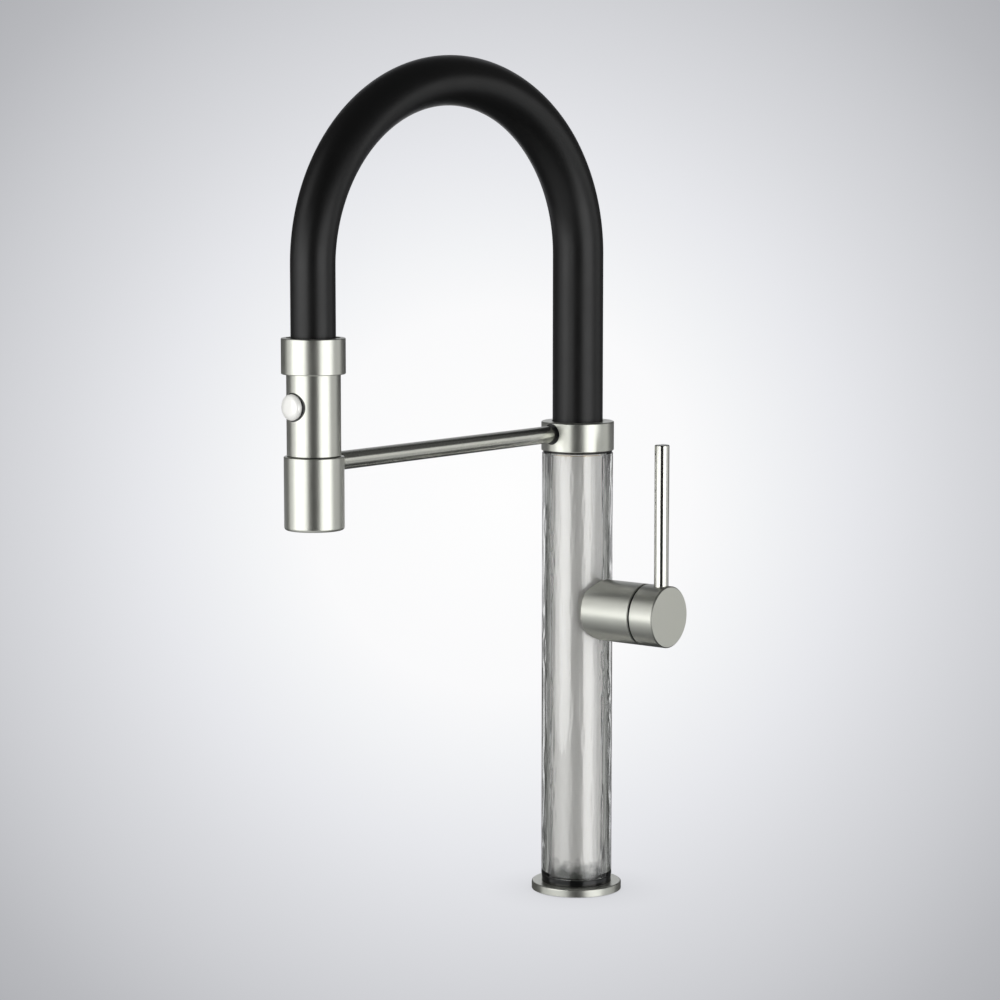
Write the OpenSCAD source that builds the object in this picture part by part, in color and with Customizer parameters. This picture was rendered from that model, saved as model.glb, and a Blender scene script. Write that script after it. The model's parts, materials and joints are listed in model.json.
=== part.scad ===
// Single-lever kitchen mixer with a glass-sleeved column, a swivelling docking arm
// and a spray head on a self-supporting hose arch.
// Millimetres. Z is up, the deck is the plane z = 0, the column axis is the Z axis,
// the arm points along -Y and the lever sits on the +X side.

/* [Base] */
// Diameter of the base flange
flange_d = 53.6; // [50:0.2:60]
// Height of the base flange
flange_h = 4.7; // [4:0.1:8]
// Rounding of the flange's top edge
flange_edge_r = 0.9; // [0.3:0.1:1.5]
// Height of the dark ring that the glass stands on
seat_h = 3.9; // [2:0.1:6]

/* [Column] */
// Outer diameter of the glass sleeve
sleeve_d = 42; // [40:0.5:50]
// Wall of the glass sleeve
sleeve_wall = 5.5; // [4:0.1:6]
// Gap between the glass and the metal column
sleeve_gap = 0.5; // [0.3:0.1:0.8]
// Wall of the metal column
column_wall = 2; // [1.5:0.1:2.5]
// Height of the underside of the swivel collar above the deck
collar_z = 264.2; // [245:0.1:300]
// Chamfer ground on the ends of the glass
sleeve_chamfer = 0.6; // [0.2:0.1:1]

/* [Swivel collar] */
// Diameter of the swivel collar
collar_d = 43; // [42.5:0.5:52]
// Height of the swivel collar
collar_h = 17.3; // [16.5:0.1:22]
// Rounding of the collar's edges
collar_edge_r = 0.8; // [0.3:0.1:1.2]
// Swing of the arm towards the lever, in degrees
swing_to_lever = 60; // [10:1:60]
// Swing of the arm away from the lever, in degrees
swing_from_lever = 150; // [60:1:160]

/* [Docking arm] */
// Distance from the column axis to the spray head axis
reach = 232.5; // [215:0.5:260]
// Diameter of the docking bar
bar_d = 10.1; // [8:0.1:10.6]
// Depth of the bar's socket in the collar
bar_socket = 5.2; // [4:0.1:5.6]
// Distance by which the bar's axis passes beside the column's axis
bar_aside = 4.6; // [0:0.1:5]
// Diameter of the holder that the spray head docks in
holder_d = 32.3; // [32:0.1:38]
// Height of the holder
holder_h = 39.3; // [34:0.1:46]
// Wall of the holder
holder_wall = 1.8; // [1.5:0.1:2.2]
// Rounding of the holder's lower edge
holder_edge_r = 1.6; // [0.5:0.1:1.8]

/* [Hose arch] */
// Outer diameter of the hose cover at the column
hose_d_column = 29.7; // [27:0.1:30.2]
// Outer diameter of the hose cover at the spray head
hose_d_spray = 24.1; // [22:0.1:24.8]
// Wall of the hose cover
hose_wall = 2.5; // [2:0.1:2.8]
// Height of the points where the arch springs from its straight legs
arch_z = 379.8; // [368:0.1:420]
// Rise of the arch above those points
arch_rise = 99.1; // [80:0.1:130]
// Diameter of the inner water hose
water_hose_d = 11; // [10:0.1:11.4]
// Wire of the support spring
spring_wire_d = 1.8; // [1.2:0.1:2]
// Turns of the support spring in the arch
spring_turns_arch = 34; // [20:1:40]

/* [Spray head] */
// Diameter of the spray head's body
spray_d = 29; // [28.6:0.1:30]
// Height of the spray body that shows above the holder
spray_h = 43.7; // [38:0.1:50]
// Diameter of the ring at the top of the spray head
spray_ring_d = 34.4; // [33:0.1:38]
// Height of the ring at the top of the spray head
spray_ring_h = 19.2; // [17:0.1:22]
// Wall of the spray body
spray_wall = 1.5; // [1.2:0.1:1.6]
// Travel of the spray head out of its holder
spray_lift = 45; // [41:1:60]
// Diameter of the round push button
button_d = 14.2; // [11:0.1:14.4]
// Height of the button above the lower end of the visible body
button_z = 26.7; // [20:0.1:27]
// Turn of the button away from the arm's line, in degrees
button_turn = 7.5; // [0:0.5:20]
// Distance that the button's face stands proud of the body
button_proud = 3.5; // [1.6:0.1:4]
// Travel of the button
button_travel = 1.4; // [0.8:0.1:1.5]
// Nozzles in the outer ring of the spray face
nozzles_outer = 20; // [12:1:24]
// Nozzles in the inner ring of the spray face
nozzles_inner = 14; // [8:1:16]

/* [Valve and lever] */
// Height of the valve axis above the deck
valve_z = 170.5; // [120:0.5:190]
// Diameter of the valve housing and its cap
valve_d = 36.2; // [35.6:0.1:38]
// Distance from the column axis to the end of the fixed housing
housing_end = 49.8; // [48:0.1:56]
// Width of the shadow gap between housing and cap
cap_gap = 1.2; // [0.8:0.1:1.6]
// Length of the turning cap
cap_len = 16.2; // [15:0.1:20]
// Diameter of the pin lever
lever_d = 8.6; // [7:0.1:10]
// Height of the lever's tip above the valve axis
lever_len = 100.5; // [70:0.5:110]
// Distance of the lever's axis from the cap's outer face
lever_inset = 5.9; // [5.6:0.1:7]

/* [Water connections] */
// Diameter of the two inlet threads
inlet_d = 9; // [8:0.1:9.4]
// Depth of the two inlet threads
inlet_depth = 12; // [8:0.5:14]
// Diameter of the thread for the fixing stud
stud_d = 6.8; // [5:0.1:7]
// Depth of the thread for the fixing stud
stud_depth = 14; // [10:0.5:18]
// Outer diameter of the two inlet pipes
pipe_d = 8; // [6:0.1:8.4]

/* [Hidden] */

$fn = 96;
eps = 0.01;

// colours of the finishes
nickel = [0.70, 0.70, 0.67];
polished = [0.82, 0.82, 0.80];
brass = [0.78, 0.62, 0.30];
rubber = [0.09, 0.09, 0.09];
plastic = [0.14, 0.14, 0.15];
white_plastic = [0.88, 0.88, 0.85];
glass = [0.80, 0.86, 0.84, 0.45];
ceramic = [0.93, 0.92, 0.88];
steel = [0.60, 0.61, 0.62];
copper = [0.72, 0.43, 0.28];

// clearances
fit_gap = 0.05;      // between pieces fixed to each other
run_gap = 0.06;      // between pieces that turn on each other
part_gap = 0.3;      // between pieces that move past each other
rest_gap = 0.15;     // under a piece that rests on another

// column, from the deck up
column_r = sleeve_d / 2 - sleeve_wall - sleeve_gap;
column_bore_r = column_r - column_wall;
insert_r = column_bore_r - fit_gap;
foot_r = column_r + 2.2;
foot_h = 1.6;
seat_top = flange_h + seat_h;
gasket_h = 0.6;
collar_bottom_gap = 0.3;
sleeve_top = collar_z - collar_bottom_gap - gasket_h;
column_top = collar_z - 2.2;
spigot_flange_top = collar_z - 0.2;

// seal under the flange
base_seal_r = flange_d / 2 - 5;
base_seal_w = 3;
base_seal_h = 1.5;

// water block in the foot and the manifold behind the valve
foot_block_h = 28;
inlet_rim = 1.2;
inlet_web = 0.8;
stud_rim = 1.5;
inlet_orbit = insert_r - inlet_rim - inlet_d / 2;
inlet_x = (inlet_d + inlet_web) / 2;
inlet_y = -sqrt(pow(inlet_orbit, 2) - pow(inlet_x, 2));
stud_y = insert_r - stud_rim - stud_d / 2;
pipe_wall = 0.8;
pipe_socket = 6;
port_r = 8;
manifold_low = 20.5;
manifold_high = 20.5;
riser_d = 10;
riser_socket = 8;
nipple_in = 9.2;

// swivel joint at the top of the column
journal_wall = 4;
journal_r = column_r - journal_wall;
bush_wall = 1.9;
bush_bore_r = journal_r + run_gap;
bush_r = bush_bore_r + bush_wall;
collar_bore_r = bush_r + fit_gap;
bush_flange_h = 1.15;
pocket_depth = 3.6;
collar_top = collar_z + collar_h;
pocket_z = collar_top - pocket_depth;
clip_h = 0.95;
clip_z = pocket_z - 0.4 - clip_h;
washer_h = 0.55;
washer_z = clip_z - fit_gap - washer_h;
bush_top = washer_z - fit_gap;
clip_depth = 0.8;
clip_out = 1.3;
spigot_top = clip_z + clip_h + 1.3;
spigot_tail = 16;
spigot_shell_r = min(insert_r, journal_r + 2);
pin_r = 1;
pin_orbit = collar_bore_r + 1.1;
pin_h = 2;
slot_play = 5;

// water joint in the spigot
plug_r = 5.94;
socket_r = plug_r + run_gap;
plug_len = 10.5;
water_r = 2.8;
seal_wire_r = 0.75;
seal_orbit = socket_r - seal_wire_r - 0.03;
nipple_flange_r = 7.5;
nipple_flange_h = 1.8;
water_hose_wall = 1.6;
water_sides = 10;
water_bore_r = water_hose_d / 2 - water_hose_wall;
barb_r = water_bore_r * cos(180 / water_sides) - 0.1;
barb_len = 18;
ferrule_wall = 0.9;
ferrule_len = 14;

// docking arm
arm_z = collar_top - 1.65 - bar_d / 2;
bar_top = arm_z + bar_d / 2;
holder_drop = 1;
holder_top = bar_top - holder_drop;
holder_z = holder_top - holder_h;
holder_bore_r = holder_d / 2 - holder_wall;
liner_wall = 0.9;
liner_r = holder_bore_r - fit_gap;
liner_bore_r = liner_r - liner_wall;
bar_start = collar_d / 2 - bar_socket;
bar_turn = asin(bar_aside / reach);
bar_foot = reach * cos(bar_turn);
bar_end = bar_foot - bar_start;
recess_r = bar_d / 2 + 0.9;
recess_depth = 1.6;
grub_r = 2;
grub_len = 4.8;
screw_r = 2.5;
screw_len = 14;
screw_head_r = 4.6;

// hose arch
arch_half = reach / 2;
hose_start_z = pocket_z + 1.5;
spray_joint_z = holder_top + rest_gap;
ring_z = spray_joint_z + spray_h;
ring_top = ring_z + spray_ring_h;
hose_end_z = ring_top - 5.9;
cover_sides = 24;
cover_steps = 40;
water_steps = 24;
spring_sides = 6;
spring_rings = 8;
spring_pitch = 10;
spring_clear = 0.35;
taper_from = 40;
taper_to = 178;
foot_neck_h = 9;
foot_flange_h = 1.2;
plug_neck_h = 9;
plug_flange_h = 2.2;

// spray head
spray_bore_r = spray_d / 2 - spray_wall;
dock_r = liner_bore_r - part_gap;
dock_bore_r = dock_r - 1.6;
joint_edge = 0.5;
nozzle_z = holder_z + 1;
core_r = spray_bore_r - fit_gap;
core_top = ring_z - 1;
nut_wall = 2.4;
nut_gap = 0.6;
core_neck_r = spray_bore_r - nut_gap - nut_wall;
core_neck_h = 7;
aerator_len = 22;
core_low = nozzle_z + aerator_len;
shell_top = ring_z + 11.3;
tail_flange_r = core_neck_r - 1.5;
tail_flange_h = 2;
tail_plug_len = 7.8;
button_axis_z = spray_joint_z + button_z;
button_r = button_d / 2;
button_gap = 0.4;
button_face = spray_d / 2 + button_proud;
button_sunk = 3.6;
button_skirt = button_sunk + button_proud;
button_edge_r = 1.8;
plunger_r = 3;
plunger_in = 6.2;
button_pocket = spray_d / 2 - button_sunk - button_travel - 0.6;
button_coil_r = 4.3;
button_wire_r = 0.35;
nozzle_r = 0.9;
nozzle_bore_r = 0.4;
nozzle_h = 0.9;
face_h = 3;
aerator_r = 6.2;

// valve
valve_r = valve_d / 2;
housing_start = 4.5;
housing_face = 16.1;
stem_r = port_r + 2.2;
sleeve_hole_r = stem_r + part_gap;
cartridge_r = 13.3;
cartridge_bore_r = cartridge_r + 0.2;
nut_r = 15.4;
nut_h = 4.4;
cartridge_len = 16.8;
cartridge_floor = 2;
cartridge_neck_r = 7;
cartridge_start = housing_end - cartridge_len - nut_h - 1.4;
nut_start = cartridge_start + cartridge_len + fit_gap;
nut_flange_h = 2.8;
nut_bore_r = cartridge_neck_r + 0.2;
nut_hex_r = 12.5;
port_orbit = 5.2;
port_hole_r = 2;
disc_r = 10.9;
disc_h = 2.95;
spindle_r = 4;
spindle_bore_r = spindle_r + run_gap;
cavity_r = disc_r + 0.1;
cap_start = housing_end + cap_gap;
cap_end = cap_start + cap_len;
cap_wall = 2.2;
lever_x = cap_end - lever_inset;
cap_pocket = lever_x - lever_d / 2 - cap_start - 1.2;
cap_chamfer = 0.6;
rim_chamfer = 0.4;
spindle_end = cap_end - 6.5;
lever_seat = valve_r - 5;
lever_stub_r = 2.5;
lever_stub_len = 4.5;
lever_edge_r = 0.7;

// ---------------------------------------------------------------- profiles

// a right angle corner at p, rounded by r, for a profile walked anticlockwise;
// from_deg is where the arc starts
function corner(p, r, from_deg, n = 8) =
    [for (i = [0:n]) [p[0] + r * cos(from_deg + 90 * i / n), p[1] + r * sin(from_deg + 90 * i / n)]];

// a solid of revolution with rounded outer edges
module turned_ring(r_in, r_out, z0, z1, edge_low, edge_high) {
    rotate_extrude()
        polygon(concat(
            [[r_in, z0]],
            corner([r_out - edge_low, z0 + edge_low], edge_low, -90),
            corner([r_out - edge_high, z1 - edge_high], edge_high, 0),
            [[r_in, z1]]));
}

module tube(r_in, r_out, z0, z1) {
    difference() {
        translate([0, 0, z0]) cylinder(r = r_out, h = z1 - z0);
        translate([0, 0, z0 - 1]) cylinder(r = r_in, h = z1 - z0 + 2);
    }
}

module rod(r, z0, z1) {
    translate([0, 0, z0]) cylinder(r = r, h = z1 - z0);
}

module torus(orbit, wire, z) {
    translate([0, 0, z]) rotate_extrude() translate([orbit, 0]) circle(r = wire, $fn = 32);
}

// puts a thing drawn along +Z onto the valve axis, which runs along +X
module on_valve_axis() {
    translate([0, 0, valve_z]) rotate([0, 90, 0]) children();
}

// puts a thing drawn round the Z axis onto the spray head's axis
module on_spray_axis() {
    translate([0, -reach, 0]) children();
}

// puts a thing drawn along +Z onto the bar's axis, pointing from the spray head's axis to the column
module on_bar_axis() {
    translate([0, -reach, arm_z]) rotate([0, 0, bar_turn]) rotate([-90, 0, 0]) children();
}

// puts a thing drawn along +Z onto the button's axis, pointing out of the spray head
module on_button_axis() {
    translate([0, -reach, button_axis_z]) rotate([0, 0, -button_turn]) rotate([90, 0, 0]) children();
}

// ---------------------------------------------------------------- base and column

module base_flange() {
    color(nickel)
    difference() {
        turned_ring(column_r + fit_gap, flange_d / 2, 0, flange_h, 0.2, flange_edge_r);
        translate([0, 0, -1]) cylinder(r = foot_r + fit_gap, h = foot_h + fit_gap + 1);
        tube(base_seal_r - base_seal_w / 2 - fit_gap, base_seal_r + base_seal_w / 2 + fit_gap,
             -1, base_seal_h + fit_gap);
    }
}

module base_seal() {
    color(rubber)
    tube(base_seal_r - base_seal_w / 2, base_seal_r + base_seal_w / 2, 0, base_seal_h);
}

module column_tube() {
    color(nickel)
    difference() {
        union() {
            rod(column_r, 0, column_top);
            rod(foot_r, 0, foot_h);
        }
        translate([0, 0, -1]) cylinder(r = column_bore_r, h = column_top + 2);
        on_valve_axis() cylinder(r = port_r + fit_gap, h = sleeve_d);
    }
}

module at_inlets() {
    for (side = [-1, 1]) translate([side * inlet_x, inlet_y, 0]) children();
}

module foot_block() {
    color(brass)
    difference() {
        rod(insert_r, 0, foot_block_h);
        at_inlets() {
            translate([0, 0, -1]) cylinder(d = inlet_d, h = inlet_depth + 1);
            cylinder(r = pipe_d / 2 - pipe_wall, h = foot_block_h + 1);
            translate([0, 0, foot_block_h - pipe_socket])
                cylinder(r = pipe_d / 2 + fit_gap, h = pipe_socket + 1);
        }
        translate([0, stud_y, -1]) cylinder(d = stud_d, h = stud_depth + 1);
    }
}

manifold_z = valve_z - manifold_low;
manifold_top = valve_z + manifold_high;

module inlet_pipes() {
    color(copper)
    at_inlets()
        tube(pipe_d / 2 - pipe_wall, pipe_d / 2, foot_block_h - pipe_socket + fit_gap,
             manifold_z + pipe_socket - fit_gap);
}

module manifold() {
    color(brass)
    difference() {
        rod(insert_r, manifold_z, manifold_top);
        at_inlets() {
            translate([0, 0, manifold_z - 1]) cylinder(r = pipe_d / 2 + fit_gap, h = pipe_socket + 1);
            translate([0, 0, manifold_z])
                cylinder(r = pipe_d / 2 - pipe_wall, h = manifold_low - port_r + 4);
        }
        translate([0, 0, manifold_top - riser_socket])
            cylinder(d = riser_d + 2 * fit_gap, h = riser_socket + 1);
        translate([0, 0, valve_z + 3]) cylinder(r = water_r, h = manifold_high);
        on_valve_axis() translate([0, 0, nipple_in - fit_gap]) cylinder(r = port_r + fit_gap, h = sleeve_d);
    }
}

module riser_pipe() {
    color(copper)
    tube(riser_d / 2 - pipe_wall, riser_d / 2, manifold_top - riser_socket + fit_gap,
         column_top - spigot_tail + riser_socket - fit_gap);
}

module sleeve_seat() {
    color(rubber)
    turned_ring(column_r + fit_gap, sleeve_d / 2 - 0.2, flange_h, seat_top, 0.3, 0.5);
}

module glass_sleeve() {
    inner = sleeve_d / 2 - sleeve_wall;
    outer = sleeve_d / 2;
    color(glass)
    difference() {
        rotate_extrude()
            polygon([[inner, seat_top], [outer - sleeve_chamfer, seat_top],
                     [outer, seat_top + sleeve_chamfer],
                     [outer, sleeve_top - sleeve_chamfer], [outer - sleeve_chamfer, sleeve_top],
                     [inner, sleeve_top]]);
        on_valve_axis() translate([0, 0, housing_start - part_gap])
            cylinder(r = sleeve_hole_r, h = sleeve_d);
    }
}

module sleeve_gasket() {
    color(rubber)
    tube(column_r + sleeve_gap + 0.1, sleeve_d / 2 - sleeve_chamfer, sleeve_top, sleeve_top + gasket_h);
}

// The spigot closes the column, carries the swivel bush and lets the hose nipple turn in it.
module swivel_spigot() {
    color(brass)
    difference() {
        union() {
            rod(insert_r, column_top - spigot_tail, column_top);
            rod(column_r, column_top, spigot_flange_top);
            rod(journal_r, spigot_flange_top, spigot_top);
        }
        tube(journal_r - clip_depth, journal_r + 1, clip_z - fit_gap, clip_z + clip_h + fit_gap);
        translate([0, 0, column_top - spigot_tail - 1])
            cylinder(d = riser_d + 2 * fit_gap, h = riser_socket + 1);
        translate([0, 0, column_top - spigot_tail])
            cylinder(r = water_r, h = collar_h + plug_len + spigot_tail);
        translate([0, 0, spigot_top - plug_len]) cylinder(r = socket_r, h = plug_len + 1);
        translate([-pin_orbit, 0, spigot_flange_top - pin_h]) cylinder(r = pin_r + 0.02, h = pin_h + 1);
    }
}

module stop_pin() {
    color(steel)
    translate([-pin_orbit, 0, 0]) rod(pin_r, spigot_flange_top - pin_h, spigot_flange_top + pin_h);
}

// ---------------------------------------------------------------- valve

module valve_housing() {
    color(nickel)
    difference() {
        union() {
            difference() {
                on_valve_axis() rotate_extrude()
                    polygon([[0, housing_face], [valve_r - rim_chamfer, housing_face],
                             [valve_r, housing_face + rim_chamfer], [valve_r, housing_end - rim_chamfer],
                             [valve_r - rim_chamfer, housing_end], [0, housing_end]]);
                // saddle that fits round the glass
                rod(sleeve_d / 2 + part_gap, valve_z - valve_d, valve_z + valve_d);
            }
            // stem that passes through the glass to the column
            on_valve_axis() rod(stem_r, housing_start, sleeve_d / 2 + 1);
        }
        translate([0, 0, valve_z - valve_r - 1]) cylinder(r = column_r + fit_gap, h = valve_d + 2);
        on_valve_axis() {
            translate([0, 0, cartridge_start - 0.2]) cylinder(r = cartridge_bore_r, h = housing_end);
            translate([0, 0, nut_start - fit_gap]) cylinder(r = nut_r + 0.1, h = housing_end);
            for (a = [90, 210, 330]) rotate([0, 0, a]) translate([port_orbit, 0, 0])
                cylinder(r = port_hole_r, h = cartridge_start + 1, $fn = 32);
        }
    }
    color(nickel)
    on_valve_axis() difference() {
        translate([0, 0, nipple_in]) cylinder(r = port_r, h = cartridge_start - nipple_in - 2);
        for (a = [90, 210, 330]) rotate([0, 0, a]) translate([port_orbit, 0, 0])
            cylinder(r = port_hole_r, h = cartridge_start + 1, $fn = 32);
    }
}

module cartridge_body() {
    color(plastic)
    on_valve_axis() difference() {
        union() {
            translate([0, 0, cartridge_start]) cylinder(r = cartridge_r, h = cartridge_len);
            translate([0, 0, cartridge_start]) cylinder(r = cartridge_neck_r, h = cartridge_len + 2);
        }
        for (a = [90, 210, 330]) rotate([0, 0, a]) translate([port_orbit, 0, cartridge_start - 1])
            cylinder(r = port_hole_r, h = 4, $fn = 32);
        translate([0, 0, cartridge_start + 2]) cylinder(r = cavity_r, h = 10.8);
        translate([0, 0, cartridge_start + 2]) cylinder(r = spindle_bore_r, h = cartridge_len + 2);
        for (z = [4, 9]) translate([0, 0, cartridge_start + z])
            tube(cartridge_r - 1.1, cartridge_r + 1, 0, 1.4);
    }
}

module cartridge_seals() {
    color(rubber)
    on_valve_axis()
        for (z = [4, 9]) torus(cartridge_r - 0.45, 0.6, cartridge_start + z + 0.7);
}

module fixed_disc() {
    color(ceramic)
    on_valve_axis() difference() {
        translate([0, 0, cartridge_start + 2 + fit_gap]) cylinder(r = disc_r, h = disc_h);
        for (a = [90, 210, 330]) rotate([0, 0, a]) translate([port_orbit, 0, cartridge_start])
            cylinder(r = port_hole_r, h = 8, $fn = 32);
    }
}

module moving_disc() {
    color(ceramic)
    on_valve_axis() difference() {
        translate([0, 0, cartridge_start + 2 + 2 * fit_gap + disc_h])
            cylinder(r = disc_r - 0.4, h = disc_h);
        hull() for (a = [90, 150]) rotate([0, 0, a])
            translate([port_orbit, 0, cartridge_start + 2 + disc_h])
            cylinder(r = port_hole_r, h = disc_h, $fn = 32);
    }
}

module spindle() {
    driver = cartridge_start + 2 + 3 * fit_gap + 2 * disc_h;
    color(brass)
    on_valve_axis() difference() {
        union() {
            translate([0, 0, driver]) cylinder(r = disc_r - 1.4, h = 4);
            translate([0, 0, driver]) cylinder(r = spindle_r, h = spindle_end - driver);
        }
        // flat for the grub screw, on the side away from the lever
        translate([spindle_r - 0.8, -spindle_r, cap_start]) cube([spindle_r, 2 * spindle_r, cap_len]);
    }
}

module cartridge_nut() {
    color(brass)
    on_valve_axis() difference() {
        union() {
            translate([0, 0, nut_start]) cylinder(r = nut_r, h = nut_flange_h);
            translate([0, 0, nut_start]) cylinder(r = nut_hex_r, h = nut_h, $fn = 6);
        }
        translate([0, 0, nut_start - 1]) cylinder(r = nut_bore_r, h = nut_h + 2);
    }
}

// dark ring that the cap glides on, seen as the shadow gap
module glide_ring() {
    color(rubber)
    on_valve_axis()
        tube(nut_r - 1.2, valve_r - rim_chamfer - 0.5, housing_end, cap_start - rest_gap);
}

module handle_cap() {
    color(nickel)
    difference() {
        on_valve_axis() rotate_extrude()
            polygon([[0, cap_start], [valve_r - rim_chamfer, cap_start], [valve_r, cap_start + rim_chamfer],
                     [valve_r, cap_end - cap_chamfer], [valve_r - cap_chamfer, cap_end], [0, cap_end]]);
        on_valve_axis() {
            translate([0, 0, cap_start - 1]) difference() {
                cylinder(r = valve_r - cap_wall, h = cap_pocket + 1);
                translate([0, 0, -1]) cylinder(r = spindle_r + 3, h = cap_pocket + 3);
            }
            translate([0, 0, cap_start - 1])
                cylinder(r = spindle_r + fit_gap, h = spindle_end - cap_start + 1.5);
        }
        // seat of the lever
        translate([lever_x, 0, valve_z + lever_seat]) cylinder(r = lever_d / 2 + fit_gap, h = valve_r);
        translate([lever_x, 0, valve_z + lever_seat - lever_stub_len - 0.5])
            cylinder(r = lever_stub_r + fit_gap, h = valve_r);
        // hole of the grub screw
        translate([spindle_end - 3, 0, valve_z - valve_r - 1])
            cylinder(r = grub_r + fit_gap, h = valve_r + 1, $fn = 32);
    }
}

module lever() {
    tip = valve_z + lever_len;
    color(polished)
    translate([lever_x, 0, 0]) {
        rotate_extrude()
            polygon(concat(
                [[0, valve_z + lever_seat + fit_gap], [lever_d / 2, valve_z + lever_seat + fit_gap]],
                corner([lever_d / 2 - lever_edge_r, tip - lever_edge_r], lever_edge_r, 0),
                [[0, tip]]));
        rod(lever_stub_r, valve_z + lever_seat - lever_stub_len, valve_z + lever_seat + 1);
    }
}

module handle_screw() {
    low = valve_z - spindle_r - 0.15 + 0.8 - 9;
    color(steel)
    translate([spindle_end - 3, 0, 0]) difference() {
        rod(grub_r, low, low + 9 - 0.05);
        translate([0, 0, low - 1]) cylinder(d = 2.3, h = 3, $fn = 6);
    }
}

// ---------------------------------------------------------------- swivel collar and arm

module arm_collar() {
    half = collar_d / 2;
    color(nickel)
    difference() {
        turned_ring(collar_bore_r, half, collar_z, collar_top, collar_edge_r, collar_edge_r);
        // pocket of the hose
        translate([0, 0, pocket_z]) cylinder(r = hose_d_column / 2 + 0.5, h = pocket_depth + 1);
        // arc that the stop pin runs in
        translate([0, 0, collar_z - 1])
            rotate([0, 0, 180 - swing_to_lever - slot_play])
            rotate_extrude(angle = swing_to_lever + swing_from_lever + 2 * slot_play)
            translate([collar_bore_r - 1, 0])
                square([pin_orbit + pin_r + part_gap - collar_bore_r + 1, pin_h + 1.6]);
        // socket of the bar, with the shadow ring round its mouth
        on_bar_axis() {
            translate([0, 0, bar_end + fit_gap - half]) cylinder(r = bar_d / 2 + fit_gap, h = half);
            translate([0, 0, bar_foot - 2 * half + recess_depth]) cylinder(r = recess_r, h = half);
        }
        // thread of the bar's grub screw
        at_grub() translate([0, 0, collar_z - 1])
            cylinder(r = grub_r + fit_gap, h = arm_z - collar_z, $fn = 32);
    }
}

grub_y = collar_d / 2 - bar_socket / 2 - recess_depth / 2;

// puts a thing drawn on the Z axis under the bar's socket
module at_grub() {
    translate([0, -reach, 0]) rotate([0, 0, bar_turn]) translate([0, bar_foot - grub_y, 0]) children();
}

module swivel_bush() {
    color(white_plastic)
    union() {
        tube(bush_bore_r, bush_r, spigot_flange_top + fit_gap, bush_top);
    }
}

module swivel_washer() {
    color(steel) tube(journal_r + 0.1, collar_bore_r - 0.1, washer_z, washer_z + washer_h);
}

module swivel_clip() {
    color(steel)
    difference() {
        tube(journal_r - clip_depth + fit_gap, journal_r + clip_out, clip_z, clip_z + clip_h);
        translate([0, -3, clip_z - 1]) cube([journal_r * 2, 6, clip_h + 2]);
    }
}

module bar() {
    color(nickel)
    difference() {
        on_bar_axis() rod(bar_d / 2, holder_d / 2 - 3, bar_end);
        on_spray_axis() rod(holder_d / 2 + 0.02, arm_z - bar_d, arm_z + bar_d);
        on_bar_axis() rod(screw_r + fit_gap, 0, holder_d / 2 + screw_len - 1.4);
    }
}

module bar_screw() {
    top = arm_z - bar_d / 2 - 0.05;
    color(steel)
    at_grub() difference() {
        rod(grub_r, top - grub_len, top);
        translate([0, 0, top - grub_len - 1]) cylinder(d = 2.3, h = 3, $fn = 6);
    }
}

module holder() {
    color(nickel)
    difference() {
        on_spray_axis()
            turned_ring(holder_bore_r, holder_d / 2, holder_z, holder_top, holder_edge_r, joint_edge);
        on_bar_axis() rod(screw_r + 0.1, 0, holder_d);
        on_bar_axis() rod(screw_head_r + fit_gap, 0, holder_bore_r + 0.8);
    }
}

// fixes the bar to the holder from inside, its head hidden behind the liner
module holder_screw() {
    color(steel)
    on_bar_axis() translate([0, 0, holder_bore_r + 0.02]) difference() {
        union() {
            cylinder(r = screw_head_r, h = 0.75);
            cylinder(r = screw_r, h = screw_len - 1);
        }
        translate([0, 0, -1]) cylinder(d = 3.4, h = 3, $fn = 6);
    }
}

module holder_liner() {
    color(plastic)
    on_spray_axis() tube(liner_bore_r, liner_r, holder_z + 2.4, holder_top);
}

// ---------------------------------------------------------------- hose arch

// The arch is half an ellipse over two straight legs, in the plane x = 0.
// t is 0 over the column and 180 over the spray head.
function arch_point(t) = [0, -arch_half * (1 - cos(t)), arch_z + arch_rise * sin(t)];
function arch_way(t) = let (v = [0, -arch_half * sin(t), arch_rise * cos(t)]) v / norm(v);

// share of the taper done at t, eased at both ends
function taper_share(t) =
    let (u = min(1, max(0, (t - taper_from) / (taper_to - taper_from)))) u * u * (3 - 2 * u)
        * 0.35 + u * 0.65;
function cover_r(t) = (hose_d_column + (hose_d_spray - hose_d_column) * taper_share(t)) / 2;

// one station of a tube: where it is, which way it runs, and t for its radius
function stations(z_start, z_end, steps) = concat(
    [[[0, 0, z_start], [0, 0, 1], 0], [[0, 0, (z_start + arch_z) / 2], [0, 0, 1], 0]],
    [for (i = [0:steps]) let (t = 180 * i / steps) [arch_point(t), arch_way(t), t]],
    [[[0, -reach, (z_end + arch_z) / 2], [0, 0, -1], 180], [[0, -reach, z_end], [0, 0, -1], 180]]);

// a ring of points round a station; across is the X axis, which no bend turns
function ring_points(place, r, sides) =
    let (across = [1, 0, 0], out = cross(place[1], across))
    [for (k = [0:sides - 1]) let (a = 360 * k / sides) place[0] + r * (cos(a) * across + sin(a) * out)];

// faces between ring i and ring i + 1 of a tube, as triangles
function skin(rings, sides, first, flip) =
    [for (i = [0:rings - 2], k = [0:sides - 1])
        let (a = first + i * sides + k, b = first + i * sides + (k + 1) % sides, c = a + sides,
            d = b + sides)
        each (flip ? [[a, b, d], [a, d, c]] : [[a, d, b], [a, c, d]])];

// faces that join the outer ring to the inner ring at one end
function rim(outer, inner, sides, flip) =
    [for (k = [0:sides - 1])
        let (a = outer + k, b = outer + (k + 1) % sides, c = inner + k, d = inner + (k + 1) % sides)
        each (flip ? [[a, d, c], [a, b, d]] : [[a, c, d], [a, d, b]])];

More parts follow.
